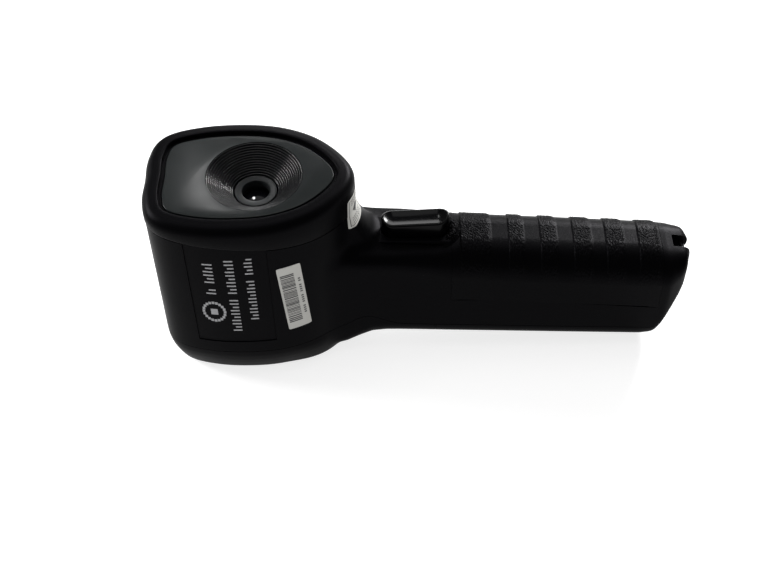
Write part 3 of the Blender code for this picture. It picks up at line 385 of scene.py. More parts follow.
def block(low, high):
    bm = bmesh.new()
    bmesh.ops.create_cube(bm, size=1.0)
    bmesh.ops.scale(bm, vec=Vector(high) - Vector(low), verts=bm.verts)
    bmesh.ops.translate(bm, vec=(Vector(low) + Vector(high)) / 2, verts=bm.verts)
    return bm


def disc(radius, low, high, x, y, steps=64):
    bm = bmesh.new()
    bmesh.ops.create_cone(bm, cap_ends=True, segments=steps, radius1=radius, radius2=radius,
                          depth=high - low)
    bmesh.ops.translate(bm, vec=(x, y, (low + high) / 2), verts=bm.verts)
    return bm


def bake(obj):
    """Replaces the object's mesh by its evaluated one, with the modifiers applied."""
    graph = bpy.context.evaluated_depsgraph_get()
    mesh = bpy.data.meshes.new_from_object(obj.evaluated_get(graph))
    obj.modifiers.clear()
    old = obj.data
    obj.data = mesh
    bpy.data.meshes.remove(old)
    return obj


def cut(obj, tools, operation="DIFFERENCE"):
    """Boolean with each tool in turn; the tools are removed afterwards."""
    for tool in tools:
        mod = obj.modifiers.new("cut", "BOOLEAN")
        mod.operation = operation
        mod.object = tool
        mod.solver = "EXACT"
    bake(obj)
    for tool in tools:
        bpy.data.objects.remove(tool, do_unlink=True)
    return obj


def soften(obj, angle=40):
    obj.data.shade_smooth()
    obj.data.set_sharp_from_angle(angle=math.radians(angle))
    return obj


def dress(obj, name, material, body, *nodes):
    """Names a finished piece, gives it its material and body, and hides the CAD nodes that it
    stands for.
    """
    obj.name = name
    obj.data.name = name
    obj.data.materials.clear()
    obj.data.materials.append(MATERIALS[material])
    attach(obj, body)
    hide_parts(*nodes)
    return obj


# ---------------------------------------------------------------- casing
VOXEL = 0.0008
HEEL = 0.0028
HEEL_X = (-0.0620, -0.0420)
NECK_X = (-0.0520, -0.0120)
NECK_TOP = 0.0760
FILLET_X = (-0.0450, -0.0100)
DOOR_START = 0.0040
SEAM_HALF = 0.00012
HAIRLINE = 0.00006
PLATFORM_X = (-0.0300, 0.0098)
PLATFORM_HALF = (0.0072, 0.0078)
PLATFORM_EDGE = 0.0006
PLATFORM_TOP = 0.0586
TRIGGER_X = -0.0045
TRIGGER_LENGTH = 0.0278
TRIGGER_WIDTH = 0.0096
TRIGGER_ROOM = 0.0004
TRIGGER_TOP = 0.0666
TRIGGER_DIP = 0.0015
TRIGGER_RISE = 0.0007
STRAP_SLOT = ((0.1029, -0.0032, 0.0405), (0.1200, 0.0032, 0.0600))
# a box that holds the whole camera, for the tools that cut along a seam
FAR = 0.1300
ASIDE = 0.0500


def relax(mesh, weights, rounds, fill_only=False):
    """Moves each vertex towards the middle of its neighbours, by its own weight; with
    fill_only it may only move outward, which fills creases and leaves edges alone."""
    count = len(mesh.vertices)
    where = np.empty(count * 3)
    mesh.vertices.foreach_get("co", where)
    where = where.reshape(-1, 3)
    edges = np.empty(len(mesh.edges) * 2, dtype=np.int64)
    mesh.edges.foreach_get("vertices", edges)
    a, b = edges.reshape(-1, 2).T
    degree = np.bincount(np.concatenate([a, b]), minlength=count).reshape(-1, 1)
    pull = (weights(where) if callable(weights) else np.full(count, weights)).reshape(-1, 1)
    out = np.empty(count * 3)
    for step in range(rounds):
        if step % 10 == 0:
            mesh.vertices.foreach_set("co", where.ravel())
            mesh.update()
            mesh.vertices.foreach_get("normal", out)
            normal = out.reshape(-1, 3)
        total = np.zeros_like(where)
        for axis in range(3):
            total[:, axis] = (np.bincount(a, where[b, axis], count)
                              + np.bincount(b, where[a, axis], count))
        move = pull * 0.5 * (total / degree - where)
        if fill_only:
            move *= ((move * normal).sum(1) > 0.0).reshape(-1, 1)
        where += move
    mesh.vertices.foreach_set("co", where.ravel())
    mesh.update()


def near_neck(where):
    """1 on the crease between head and handle, falling to 0 a few millimetres away."""
    outline = np.array([rim_at(RIM_LENGTH * k / 240, BODY_OUT) for k in range(240)])
    low, high = NECK_X
    keep = (where[:, 0] > low) & (where[:, 0] < high) & (where[:, 2] < NECK_TOP)
    result = np.zeros(len(where))
    points = where[keep][:, :2]
    gap = np.sqrt(((points[:, None, :] - outline[None]) ** 2).sum(2)).min(1)
    result[keep] = np.clip(1.3 - gap / 0.0100, 0.0, 1.0)
    return result


def head_levels(inset):
    """Offsets and heights of the head's form, or of its hollow if inset is above 0."""
    out = BODY_OUT - inset
    if inset:
        return [(out - 0.0040, inset), (out - 0.0012, 0.0055), (out, REAR_SEAM_Z),
                (out, FRONT_Z)]
    levels = [(-0.0006, 0.0), (0.0002, 0.0003), (0.0012, 0.0010), (0.0021, 0.0022),
              (0.0028, 0.0038)]
    levels += [(0.0028 + (out - 0.0028) * math.sin(math.pi / 2 * t),
                0.0038 + (REAR_SEAM_Z - 0.0038) * t) for t in (0.25, 0.5, 0.75, 1.0)]
    return levels + [(out, FRONT_FORM_Z)]


def body_ring(offset, z, count):
    """head_ring of the outer form, whose back edge is fuller towards the handle."""
    ring = []
    for k in range(count):
        distance = RIM_LENGTH * k / count
        share = min(max((rim_at(distance).x - HEEL_X[0]) / (HEEL_X[1] - HEEL_X[0]), 0.0), 1.0)
        fuller = HEEL * share * share * (3 - 2 * share) * max(1.0 - z / REAR_SEAM_Z, 0.0)
        ring.append((*rim_at(distance, offset + fuller), z))
    return ring


def smooth_form():
    """One soft outer form of head, neck and handle, with a fillet where they meet."""
    head = as_object(skin([body_ring(o, z, 200) for o, z in head_levels(0.0)]), "form")
    places = [HANDLE[0][0] + 0.001 * k for k in range(190)]
    places = [x for x in places if x < TAIL_START] + [s[0] for s in HANDLE if s[0] >= TAIL_START]
    handle = as_object(skin([handle_ring(x) for x in places]), "form_handle")
    fillet = as_object(skin([head_ring(BODY_OUT + reach, z, 200) for z, reach in FILLET]),
                       "form_fillet")
    low, high = FILLET_X
    cut(fillet, [as_object(block((low, -FILLET_HALF, 0.0500), (high, FILLET_HALF, FRONT_SEAM_Z)),
                           "tool")], "INTERSECT")
    cut(head, [handle, fillet], "UNION")
    mod = head.modifiers.new("remesh", "REMESH")
    mod.mode = "VOXEL"
    mod.voxel_size = VOXEL
    bake(head)
    relax(head.data, 1.0, 3)
    relax(head.data, near_neck, 110, fill_only=True)
    return head


def before_front_seam(shift):
    """Tool for everything in front of the sloping seam of the front ring."""
    rings = [[(x, -ASIDE, 0.1100), (x, ASIDE, 0.1100), (x, ASIDE, front_seam(x) + shift),
              (x, -ASIDE, front_seam(x) + shift)] for x in (-FAR, FRONT_RING_END)]
    return as_object(skin(rings), "tool", smooth=False)


def copy_of(obj, name):
    twin = bpy.data.objects.new(name, obj.data.copy())
    bpy.context.scene.collection.objects.link(twin)
    return twin


def below_seam(shift, low, high):
    """Tool for everything below the seam, between two places along the camera."""
    places = [low] + [x for x in (-0.0450 + 0.0015 * k for k in range(27)) if low < x < high]
    places += [high]
    rings = []
    for x in places:
        top = seam_height(x) + shift
        rings.append([(x, -ASIDE, -0.0200), (x, ASIDE, -0.0200), (x, ASIDE, top),
                      (x, -ASIDE, top)])
    return as_object(skin(rings), "tool", smooth=False)


def head_cavity():
    return as_object(skin([head_ring(o, z, 90) for o, z in head_levels(WALL)]), "tool")


def handle_cavity():
    rings = [handle_ring(s[0], HANDLE_WALL, -HANDLE_WALL if s[0] > 0.09 else 0.0, 5)
             for s in HANDLE if s[0] < CAVITY_END]
    return as_object(skin(rings), "tool")


def stadium_ring(length, width, z, steps=16):
    """Ring round a stadium; z is a height or a function of x."""
    r, half = width / 2, length / 2 - width / 2
    height = z if callable(z) else (lambda x: z)
    flat = [(half + r * math.cos(a), r * math.sin(a))
            for a in (math.pi * (k / steps - 0.5) for k in range(steps + 1))]
    flat += [(-x, -y) for x, y in flat]
    return [(TRIGGER_X + x, y, height(x)) for x, y in flat]


def make_platform():
    """Flat-topped step round the trigger, a little wider at the grip, with soft edges."""
    low, high = PLATFORM_X
    rings = []
    for k in range(41):
        x = low + (high - low) * k / 40
        half = PLATFORM_HALF[0] + (PLATFORM_HALF[1] - PLATFORM_HALF[0]) * k / 40
        turn = [(half - PLATFORM_EDGE * (1 - math.cos(a)),
                 PLATFORM_TOP - PLATFORM_EDGE * (1 - math.sin(a)))
                for a in (math.pi / 2 * i / 4 for i in range(5))]
        ring = [(half, 0.0530)] + turn
        rings.append([(x, y, z) for y, z in ring] + [(x, -y, z) for y, z in reversed(ring)])
    return as_object(skin(rings), "tool")


def make_casing():
    form = smooth_form()
    cut(form, [before_front_seam(-GAP / 2)])
    cover = copy_of(form, "cover")
    door = copy_of(form, "door")

    cut(form, [make_platform()], "UNION")
    tools = [head_cavity(), handle_cavity()]
    tools.append(below_seam(SEAM_HALF, -FAR, FAR))
    tools.append(as_object(skin([stadium_ring(TRIGGER_LENGTH + 2 * TRIGGER_ROOM,
                                              TRIGGER_WIDTH + 2 * TRIGGER_ROOM, z)
                                 for z in (0.0500, 0.0700)]), "tool"))
    tools.append(grip_tool())
    tools.append(plate_tool())
    tools.append(as_object(block(*STRAP_SLOT), "tool", smooth=False))
    tools += flap_tools()
    cut(form, tools)
    dress(soften(form), "housing", "shell", "camera", "main_housing")

    add_posts(cover)
    cut(cover, [below_seam(-SEAM_HALF, -FAR, DOOR_START - HAIRLINE)], "INTERSECT")
    cut(cover, [head_cavity(), handle_cavity()] + cover_tools())
    dress(soften(cover), "back_cover", "shell", "camera", "rear_cover")

    cut(door, [below_seam(-SEAM_HALF, DOOR_START + HAIRLINE, FAR)], "INTERSECT")
    cut(door, [handle_cavity()])
    dress(soften(door), "door_cover", "shell", "door", "battery_door")


GRIP_START = 0.0104
GRIP_END = 0.0980
GRIP_THICK = 0.0012
GRIP_DEPTH = 0.0255
BANDS = [(0.0142, 0.0273), (0.0341, 0.0410), (0.0473, 0.0547),
         (0.0610, 0.0693), (0.0746, 0.0829), (0.0883, 0.0973)]
BAND_RISE = 0.00042
BAND_DEPTH = 0.0120
BAND_FADE = 0.0070
PEBBLE_RISE = 0.00026
PEBBLE_SLOPE = 0.40
PEBBLES_PER_METRE = 1600.0
GRIP_STEP = 0.00022
UNIT = 0.0010
COLLAR_RADIUS = 0.0098
COLLAR_RISE = 0.0026
COLLAR_PEBBLE_RISE = 0.00042
COLLAR_SINK = 0.0020


def sleeve_points(x, offset, steps):
    """Points over the front of the handle, from one side to the other, moved outward."""
    w, _, front, _, r_front = handle_at(x)
    low = front - GRIP_DEPTH
    flat_z = front - r_front
    points = [(w + offset, low + (flat_z - low) * k / steps) for k in range(steps)]
    arc = corner(w - r_front, flat_z, r_front + offset, 0, steps)
    top = [(w - r_front - 2 * (w - r_front) * k / steps, front + offset)
           for k in range(1, steps)]
    half = points + arc + top
    return half + [(-y, z) for y, z in reversed(points + arc)]


def grip_tool():
    """Tool for the bed that the sleeve lies in."""
    rings = []
    for x in (GRIP_START - 0.0001, 0.0240, 0.0620, GRIP_END + 0.0001):
        outer = sleeve_points(x, 0.0030, 6)
        inner = sleeve_points(x, -GRIP_THICK, 6)
        rings.append([(x, y, z) for y, z in outer + inner[::-1]])
    return as_object(skin(rings), "tool", smooth=False)


def band_lift(x):
    """How far the sleeve is raised at x: 0 in a valley, 1 on a band."""
    for low, high in BANDS:
        if low - 0.0003 <= x <= high:
            up = min((x - low + 0.0003) / 0.0004, 1.0)
            down = min((high - x) / 0.0022, 1.0)
            return min(up, down * down * (3 - 2 * down))
    return 0.0


def pebbles(x, y, z):
    """Leathery relief, -0.5 to 0.5, from the gaps between irregular cells."""
    near = noise.voronoi(Vector((x, y, z)) * PEBBLES_PER_METRE)[0]
    return min(near[1] - near[0], PEBBLE_SLOPE) / PEBBLE_SLOPE - 0.5


def make_grip():
    """Rubber sleeve: raised leathery bands that fade out down the sides."""
    across = 46
    count = int((GRIP_END - GRIP_START) / GRIP_STEP)
    rings = []
    for i in range(count + 1):
        x = GRIP_START + (GRIP_END - GRIP_START) * i / count
        lift = band_lift(x)
        front = handle_at(x)[2]
        flat = sleeve_points(x, 0.0, across)
        raised = sleeve_points(x, UNIT, across)
        ring = []
        for (y, z), (y2, z2) in zip(flat, raised):
            fade = min(max((z - (front - BAND_DEPTH)) / BAND_FADE, 0.0), 1.0)
            rise = fade * BAND_RISE * lift
            if fade > 0.0 and lift > 0.3:
                rise += min(fade * 2.0, 1.0) * PEBBLE_RISE * pebbles(x, y, z)
            ring.append((x, y + (y2 - y) * rise / UNIT, z + (z2 - z) * rise / UNIT))
        inner = sleeve_points(x, -GRIP_THICK + 0.0001, across)
        ring += [(x, y, z) for y, z in inner[::-1]]
        rings.append(ring)
    grip = as_object(skin(rings), "grip", angle=75)
    dress(grip, "grip", "rubber", "camera", "grip_sleeve")
    make_collar()


def top_surface(x, y):
    """Height of the handle's front face at a point."""
    w, _, front, _, r_front = handle_at(x)
    past = max(abs(y) - (w - r_front), 0.0)
    return front - r_front + math.sqrt(max(r_front * r_front - past * past, 0.0))


def make_collar():
    """Leathery crescent that the grip sends round the end of the trigger."""
    centre_x = TRIGGER_X + (TRIGGER_LENGTH - TRIGGER_WIDTH) / 2
    inner, outer = TRIGGER_WIDTH / 2 + 0.0005, COLLAR_RADIUS
    turns, steps = 150, 26
    rings = []
    for i in range(turns + 1):
        a = math.radians(-80 + 160 * i / turns)
        end = math.sin(math.pi * i / turns) ** 0.60
        ring = []
        for r, share in [(inner, None), (outer, None)] + [
                (outer + (inner - outer) * k / steps, k / steps) for k in range(steps + 1)]:
            x, y = centre_x + r * math.cos(a), r * math.sin(a)
            z = top_surface(x, y)
            if share is None:
                z -= COLLAR_SINK
            else:
                crown = math.sin(math.pi * (share * 0.70 + 0.01))
                z += (COLLAR_RISE * crown * end
                      + COLLAR_PEBBLE_RISE * pebbles(x, y, z) * min(crown * 3, 1.0))
            ring.append((x, y, z))
        rings.append(ring)
    collar = as_object(skin(rings), "grip_collar", "rubber", "camera", angle=75)


def plate_spec():
    """Centre, width and height of the name plate on the wall."""
    low, high = side_distance(PLATE_X[0]), side_distance(PLATE_X[1])
    bottom, top = PLATE_Z
    return ((low + high) / 2, (bottom + top) / 2), low - high, top - bottom


def wall_place(centre, tilt, u, v, offset):
    """Point on the side wall: u along it and v up it from a centre, turned by tilt."""
    s = centre[0] + u * math.cos(tilt) - v * math.sin(tilt)
    z = centre[1] + u * math.sin(tilt) + v * math.cos(tilt)
    return (*rim_at(s, offset), z)


SEAM_BRIDGE = 0.0006


def draped_on(*objects):
    """A wall_place for finished pieces: finds their surface from outside, then lifts off it."""
    graph = bpy.context.evaluated_depsgraph_get()
    trees = [BVHTree.FromObject(obj, graph) for obj in objects]

    def place(centre, tilt, u, v, lift):
        far = Vector(wall_place(centre, tilt, u, v, 0.0250))
        inward = (Vector(wall_place(centre, tilt, u, v, 0.0)) - far).normalized()
        # rays just above and below bridge the narrow seams
        hits = [tree.ray_cast(far + Vector((0.0, 0.0, step)), inward)
                for tree in trees for step in (-SEAM_BRIDGE, 0.0, SEAM_BRIDGE)]
        return far + inward * (min(hit[3] for hit in hits if hit[0]) - lift)

    return place


def wall_piece(centre, width, height, inner, outer, tilt=0.0, columns=16, radius=0.0, rows=1,
               place=wall_place):
    """Thin sheet on the side wall with rounded corners."""
    rings = []
    for i in range(columns + 1):
        share = i / columns
        if radius:
            share = 0.5 - 0.5 * math.cos(math.pi * share)
        u = width * (share - 0.5)
        inside = max(abs(u) - (width / 2 - radius), 0.0)
        trim = radius - math.sqrt(max(radius * radius - inside * inside, 0.0))
        half = height / 2 - trim * 0.98
        climb = [-half + 2 * half * j / rows for j in range(rows + 1)]
        rings.append([place(centre, tilt, u, v, inner) for v in climb]
                     + [place(centre, tilt, u, v, outer) for v in reversed(climb)])
    bm = skin(rings)
    bmesh.ops.triangulate(bm, faces=bm.faces)
    return bm


PRINT_STEP = 0.0010
PRINT_THICK = 0.00004


def wall_print(name, material, marks, centre, tilt, level, place=wall_place):
    """Printed marks on the wall: each is (u, v, width, height)."""
    bm = bmesh.new()
    top = level + PRINT_THICK
    edges = ((-1, level), (1, level), (1, top), (-1, top))
    for u, v, width, height in marks:
        columns = 1 + int(width / PRINT_STEP)
        slices = []
        for c in range(columns + 1):
            across = u + width * (c / columns - 0.5)
            slices.append([bm.verts.new(place(centre, tilt, across, v + side * height / 2, lift))
                           for side, lift in edges])
        for low, high in zip(slices, slices[1:]):
            for i in range(4):
                j = (i + 1) % 4
                bm.faces.new((low[i], low[j], high[j], high[i]))
        bm.faces.new(slices[0])
        bm.faces.new(slices[-1])
    obj = as_object(bm, name, material, smooth=False)
    return obj


PLATE_X = (-0.0934, -0.0638)
PLATE_Z = (0.0240, FRONT_FORM_Z)
PLATE_SINK = 0.0003


def plate_tool():
    centre, width, height = plate_spec()
    return as_object(wall_piece(centre, width + 0.0003, height + 0.0006, BODY_OUT - 0.0009,
                                BODY_OUT + 0.0020), "tool", smooth=False)


def make_plate():
    centre, width, height = plate_spec()
    plate = as_object(wall_piece(centre, width, height, BODY_OUT - 0.0009,
                                 BODY_OUT - PLATE_SINK, columns=30), "plate", smooth=True)
    cut(plate, [before_front_seam(-GAP / 2)])
    dress(plate, "side_plate", "shell", "camera", "name_plate")
    # plain marks where a maker would print: a ring, then rows of strokes without letters
    marks = []
    rows = [(0.0072, -0.0010, 0.0036, (2, 6)), (-0.0008, -0.0240, 0.0034, (10, 10)),
            (-0.0080, -0.0168, 0.0030, (12, 5))]
    for u, start, height, words in rows:
        v = start
        for strokes in words:
            for k in range(strokes):
                trim = 0.3 * height * (k % 3 == 1)
                marks.append((u - trim / 2, v, height - trim, 0.00075))
                v += 0.0021
            v += 0.0026
    for k in range(20):
        a = 2 * math.pi * k / 20
        marks.append((0.0072 + 0.0040 * math.cos(a), -0.0125 + 0.0056 * math.sin(a),
                      0.0010, 0.0015))
    marks.append((0.0072, -0.0125, 0.0026, 0.0036))
    wall_print("plate_print", "print", marks, centre, 0.0, BODY_OUT - PLATE_SINK)


def make_labels():
    tilt = math.radians(-3.8)
    centre = (side_distance(-0.0560), 0.0484)
    label = as_object(wall_piece(centre, 0.0088, 0.0385, BODY_OUT + 0.00002,
                                 BODY_OUT + 0.00016, tilt, 20, 0.0008), "label")
    dress(label, "code_label", "paper", "camera", "barcode_label")
    rng = random.Random(5)
    marks, v = [], -0.0150
    while v < 0.0148:
        thick = rng.choice((0.00030, 0.00048, 0.00064))
        marks.append((0.0011, v + thick / 2, 0.0050, thick))
        v += thick + rng.choice((0.00030, 0.00042, 0.00062))
    marks += [(-0.0030, -0.0110 + 0.00135 * k, 0.0009, 0.0007) for k in range(17) if k % 5 != 4]
    wall_print("code_print", "ink", marks, centre, tilt, BODY_OUT + 0.00016)


def make_seal():
    """Small sticker over the seam at the head's tip, with a plain frame and diamond."""
    tilt, centre = math.radians(2), (0.0022, 0.0766)
    place = draped_on(bpy.data.objects["front_ring"], bpy.data.objects["housing"])
    seal = as_object(wall_piece(centre, 0.0094, 0.0146, 0.00002, 0.00014, tilt, 24, 0.0009, 30,
                                place), "seal")
    dress(seal, "seal_sticker", "paper", "camera", "seal_label")
    marks = []
    for side in (-1, 1):
        marks += [(side * 0.0037, -0.0060 + 0.0010 * k, 0.00024, 0.0010) for k in range(13)]
        marks += [(-0.0032 + 0.0008 * k, side * 0.0063, 0.0008, 0.00024) for k in range(9)]
    for k in range(-5, 6):
        width = 0.0034 * (1 - abs(k) / 6)
        marks.append((0.0, 0.00042 * k, width, 0.00030))
    for side in (-1, 1):
        for row in range(3):
            v = side * (0.0034 + 0.0010 * row)
            marks += [(-0.0022 + 0.00074 * k, v, 0.00048, 0.00040) for k in range(7)]
    wall_print("seal_print", "ink", marks, centre, tilt, 0.00014, place)


def make_bezel():
    out, top = BEZEL_OUT, FRONT_Z
    # the lowest heights are measured from the sloping seam
    profile = [(BODY_OUT - WALL, 0.00005), (BODY_OUT - 0.00035, 0.00005),
               (BODY_OUT - 0.00010, 0.00015), (BODY_OUT + 0.00010, 0.0004), (out, 0.0010)]
    shoulder = 0.0042
    for k in range(13):
        a = math.pi / 2 * k / 12
        profile.append((out - shoulder * (1 - math.cos(a)),
                        top - 0.0002 - shoulder * (1 - math.sin(a))))
    under = PANEL_Z - 0.0023
    profile += [(0.0016, top - 0.00005), (0.0009, top), (0.0004, top - 0.00001),
                (0.00015, top - 0.00006), (0.0, top - 0.0002), (-0.00015, PANEL_Z - 0.0006),
                (-LEDGE_INSET, PANEL_Z - 0.0006), (-LEDGE_INSET, under),
                (0.0020, under - 0.0009), (BODY_OUT - WALL, under - 0.0022)]
    rings = []
    for offset, z in profile:
        rings.append([(x, y, front_seam(x) + z if z < 0.01 else z)
                      for x, y, z in head_ring(offset, z, 240)])
    bezel = as_object(skin(rings, closed_loop=True), "bezel", angle=50)
    dress(bezel, "front_ring", "shell", "camera", "front_bezel")


def lathe(name, profile, x=LENS_X, y=0.0, steps=128, closed=True, angle=35):
    """Profile of (radius, z) turned about the vertical through (x, y)."""
    bm = bmesh.new()
    verts = [bm.verts.new((r, 0.0, z)) for r, z in profile]
    for a, b in zip(verts, verts[1:] + (verts[:1] if closed else [])):
        if a is not b:
            bm.edges.new((a, b))
    bmesh.ops.spin(bm, geom=bm.verts[:] + bm.edges[:], cent=(0, 0, 0), axis=(0, 0, 1),
                   angle=2 * math.pi, steps=steps, use_merge=True)
    bmesh.ops.remove_doubles(bm, verts=bm.verts, dist=1e-7)
    bmesh.ops.translate(bm, vec=(x, y, 0.0), verts=bm.verts)
    return as_object(bm, name, angle=angle)


CONE_RADIUS = 0.0191
CONE_INNER = 0.0089
CONE_DEPTH = 0.0085
CONE_STEPS = 13


def make_lens():
    panel = as_object(skin([head_ring(-PANEL_INSET - inset, PANEL_Z - drop, 240)
                            for inset, drop in ((0.0, 0.0020), (0.0, 0.0003), (0.00006, 0.00012),
                                                (0.0002, 0.00003), (0.0004, 0.0))]), "panel")
    cut(panel, [as_object(disc(CONE_RADIUS + 0.00015, 0.08, 0.10, LENS_X, 0.0, 160), "tool")])
    dress(soften(panel), "face_panel", "gloss", "camera", "lens_panel")

    bottom = PANEL_Z - CONE_DEPTH
    profile = [(CONE_RADIUS, PANEL_Z - 0.0001), (CONE_RADIUS - 0.00012, PANEL_Z - 0.00035),
               (CONE_INNER, bottom - 0.00030), (CONE_INNER, bottom - 0.0015),
               (0.0120, bottom - 0.0015), (0.0190, PANEL_Z - 0.0041),
               (0.0213, PANEL_Z - 0.0041), (0.0213, PANEL_Z - 0.0023),
               (CONE_RADIUS, PANEL_Z - 0.0023)]
    # the cone's body takes the darker groove colour: painted shade between its crest rings
    dress(lathe("cone", profile, steps=160), "lens_recess", "groove", "camera", "lens_cone")
    pitch = (CONE_RADIUS - CONE_INNER) / CONE_STEPS
    drop = CONE_DEPTH / CONE_STEPS
    # crest rings round the cone, in the lighter ribs colour: painted highlight along each ring
    for k in range(CONE_STEPS):
        r = CONE_RADIUS - (k + 0.35) * pitch
        z = PANEL_Z - 0.0002 - (k + 0.35) * drop
        crest = [(r + 0.17 * pitch * math.cos(a), z + 0.00022 * math.sin(a))
                 for a in (2 * math.pi * i / 8 for i in range(8))]
        ring = lathe("crest", crest, steps=160, angle=70)
        dress(ring, "lens_ring_%02d" % k, "ribs", "camera", "lens_cone")

    nose = bottom + 0.0001
    profile = [(0.0085, nose - 0.0002), (0.0083, nose), (0.00600, nose),
               (0.00575, nose - 0.00008), (0.00560, nose - 0.0003), (0.0056, 0.0790),
               (0.0070, 0.0790), (0.0070, 0.0685), (0.0062, 0.0685), (0.0062, 0.0627),
               (0.0082, 0.0627), (0.0082, 0.0579), (0.0105, 0.0579), (0.0105, 0.0639),
               (0.0085, 0.0639)]
    dress(lathe("barrel", profile, steps=96), "lens_tube", "nose", "camera", "lens_barrel")
    crown = [(0.0067 * math.sin(math.pi / 2 * k / 12),
              0.0756 + 0.0024 * math.cos(math.pi / 2 * k / 12)) for k in range(13)]
    profile = crown + [(0.0067, 0.0738), (0.0045, 0.0744), (0.0, 0.0746)]
    dress(lathe("lens", profile, steps=64, closed=False), "front_lens", "lens", "camera",
          "lens_element")


def trigger_surface(x):
    """Top of the button: dished along it, and a little higher towards the grip."""
    reach = x / (TRIGGER_LENGTH / 2)
    return TRIGGER_TOP - TRIGGER_DIP * (1 - reach ** 4) + TRIGGER_RISE * reach


def make_trigger():
    """Glossy stadium button with a dished top and a rolled edge."""
    edge, dish, layers = 0.0009, 0.00045, []
    seat, flange = 0.0500, 0.0024
    for length, z in ((flange, seat), (flange, seat + 0.0016), (0.0, seat + 0.0018)):
        layers.append(stadium_ring(TRIGGER_LENGTH + length, TRIGGER_WIDTH + length, z, 24))
    steps = [(edge * (1 - math.cos(a)), edge * (1 - math.sin(a)))
             for a in (math.pi / 2 * k / 8 for k in range(9))]
    hollow = TRIGGER_WIDTH / 2 - edge - 0.0001
    steps += [(edge + hollow * t, dish * math.sin(math.pi / 2 * t))
              for t in (k / 10 for k in range(1, 11))]
    for inset, drop in steps:
        layers.append(stadium_ring(TRIGGER_LENGTH - 2 * inset, TRIGGER_WIDTH - 2 * inset,
                                   lambda x, d=drop: trigger_surface(x) - d, 24))
    button = as_object(skin(layers), "button", angle=50)
    dress(button, "trigger", "button", "trigger", "trigger_button")


# ---------------------------------------------------------------- back, keys and screws
# cover screws: x, y, and the height of the cover's outer face there
COVER_SCREWS = [(-0.0545, 0.0163, 0.0), (-0.0545, -0.0163, 0.0),
                (-0.0150, 0.0085, 0.0081), (-0.0150, -0.0085, 0.0081)]
WINDOW_X = (-0.0988, -0.0590)
WINDOW_HALF = 0.0173
WINDOW_Z = (0.0006, 0.0013)
KEY_RADIUS = 0.0036
KEY_FACE = 0.0005
KEY_PLACES = {"menu": (-0.0490, 0.0), "power": (-0.0400, 0.0),
              "up": (-0.0490, 0.0105), "down": (-0.0490, -0.0105)}


def add_posts(cover):
    """Posts that the cover screws pass through."""
    for x, y, face in COVER_SCREWS:
        cut(cover, [as_object(disc(0.0030, face + 0.0018, 0.0125, x, y), "tool")], "UNION")


def cover_tools():
    """Tools for the openings of the display, the keys and the screws."""
    low, high = WINDOW_X
    ledge = 0.0018
    tools = [rounded_slab((low - 0.0002, high + 0.0002), WINDOW_HALF + 0.0002,
                          (-0.01, 0.0016), 0.0017),
             rounded_slab((low + ledge, high - ledge), WINDOW_HALF - ledge, (-0.01, 0.01),
                          0.001)]
    for x, y in KEY_PLACES.values():
        tools.append(as_object(disc(KEY_RADIUS + 0.0002, -0.005, 0.010, x, y), "tool"))
    for x, y, face in COVER_SCREWS:
        tools.append(as_object(disc(0.0026, -0.005, face + 0.0030, x, y), "tool"))
    return tools


def rounded_slab(span, half, height, radius, edge=0.0):
    """Flat slab with rounded corners in plan and an optional rounded lower edge."""
    low, high = span
    levels = [(0.0, height[1])]
    if edge:
        levels += [(edge * (1 - math.cos(a)), height[0] + edge * (1 - math.sin(a)))
                   for a in (math.pi / 2 * k / 5 for k in range(6))]
    else:
        levels.append((0.0, height[0]))
    rings = []
    for inset, z in levels:
        ring = []
        for cx, cy, first in ((high - radius, half - radius, 0), (low + radius, half - radius, 1),
                              (low + radius, -half + radius, 2),
                              (high - radius, -half + radius, 3)):
            ring += [(px, py, z) for px, py in corner(cx, cy, radius, first, 8)]
        centre_x = (low + high) / 2
        scale_x = 1 - inset / ((high - low) / 2)
        scale_y = 1 - inset / half
        rings.append([(centre_x + (px - centre_x) * scale_x, py * scale_y, pz)
                      for px, py, pz in ring])
    return as_object(skin(rings), "slab", angle=35)


def flat_print(name, shapes, z, body, material="print"):
    """Printed shapes facing down at a height: each is a list of (x, y) corners."""
    bm = bmesh.new()
    for shape in shapes:
        low = [bm.verts.new((x, y, z - 0.00005)) for x, y in shape]
        high = [bm.verts.new((x, y, z)) for x, y in shape]
        bm.faces.new(low)
        bm.faces.new(high[::-1])
        for i in range(len(shape)):
            j = (i + 1) % len(shape)
            bm.faces.new((low[i], high[i], high[j], low[j]))
    obj = as_object(bm, name, material, body, smooth=False)


def bar(x, y, length, width, turn=0.0):
    """Corners of a turned rectangle about a point."""
    c, s = math.cos(turn), math.sin(turn)
    return [(x + dx * c - dy * s, y + dx * s + dy * c)
            for dx, dy in ((-length / 2, -width / 2), (length / 2, -width / 2),
                           (length / 2, width / 2), (-length / 2, width / 2))]


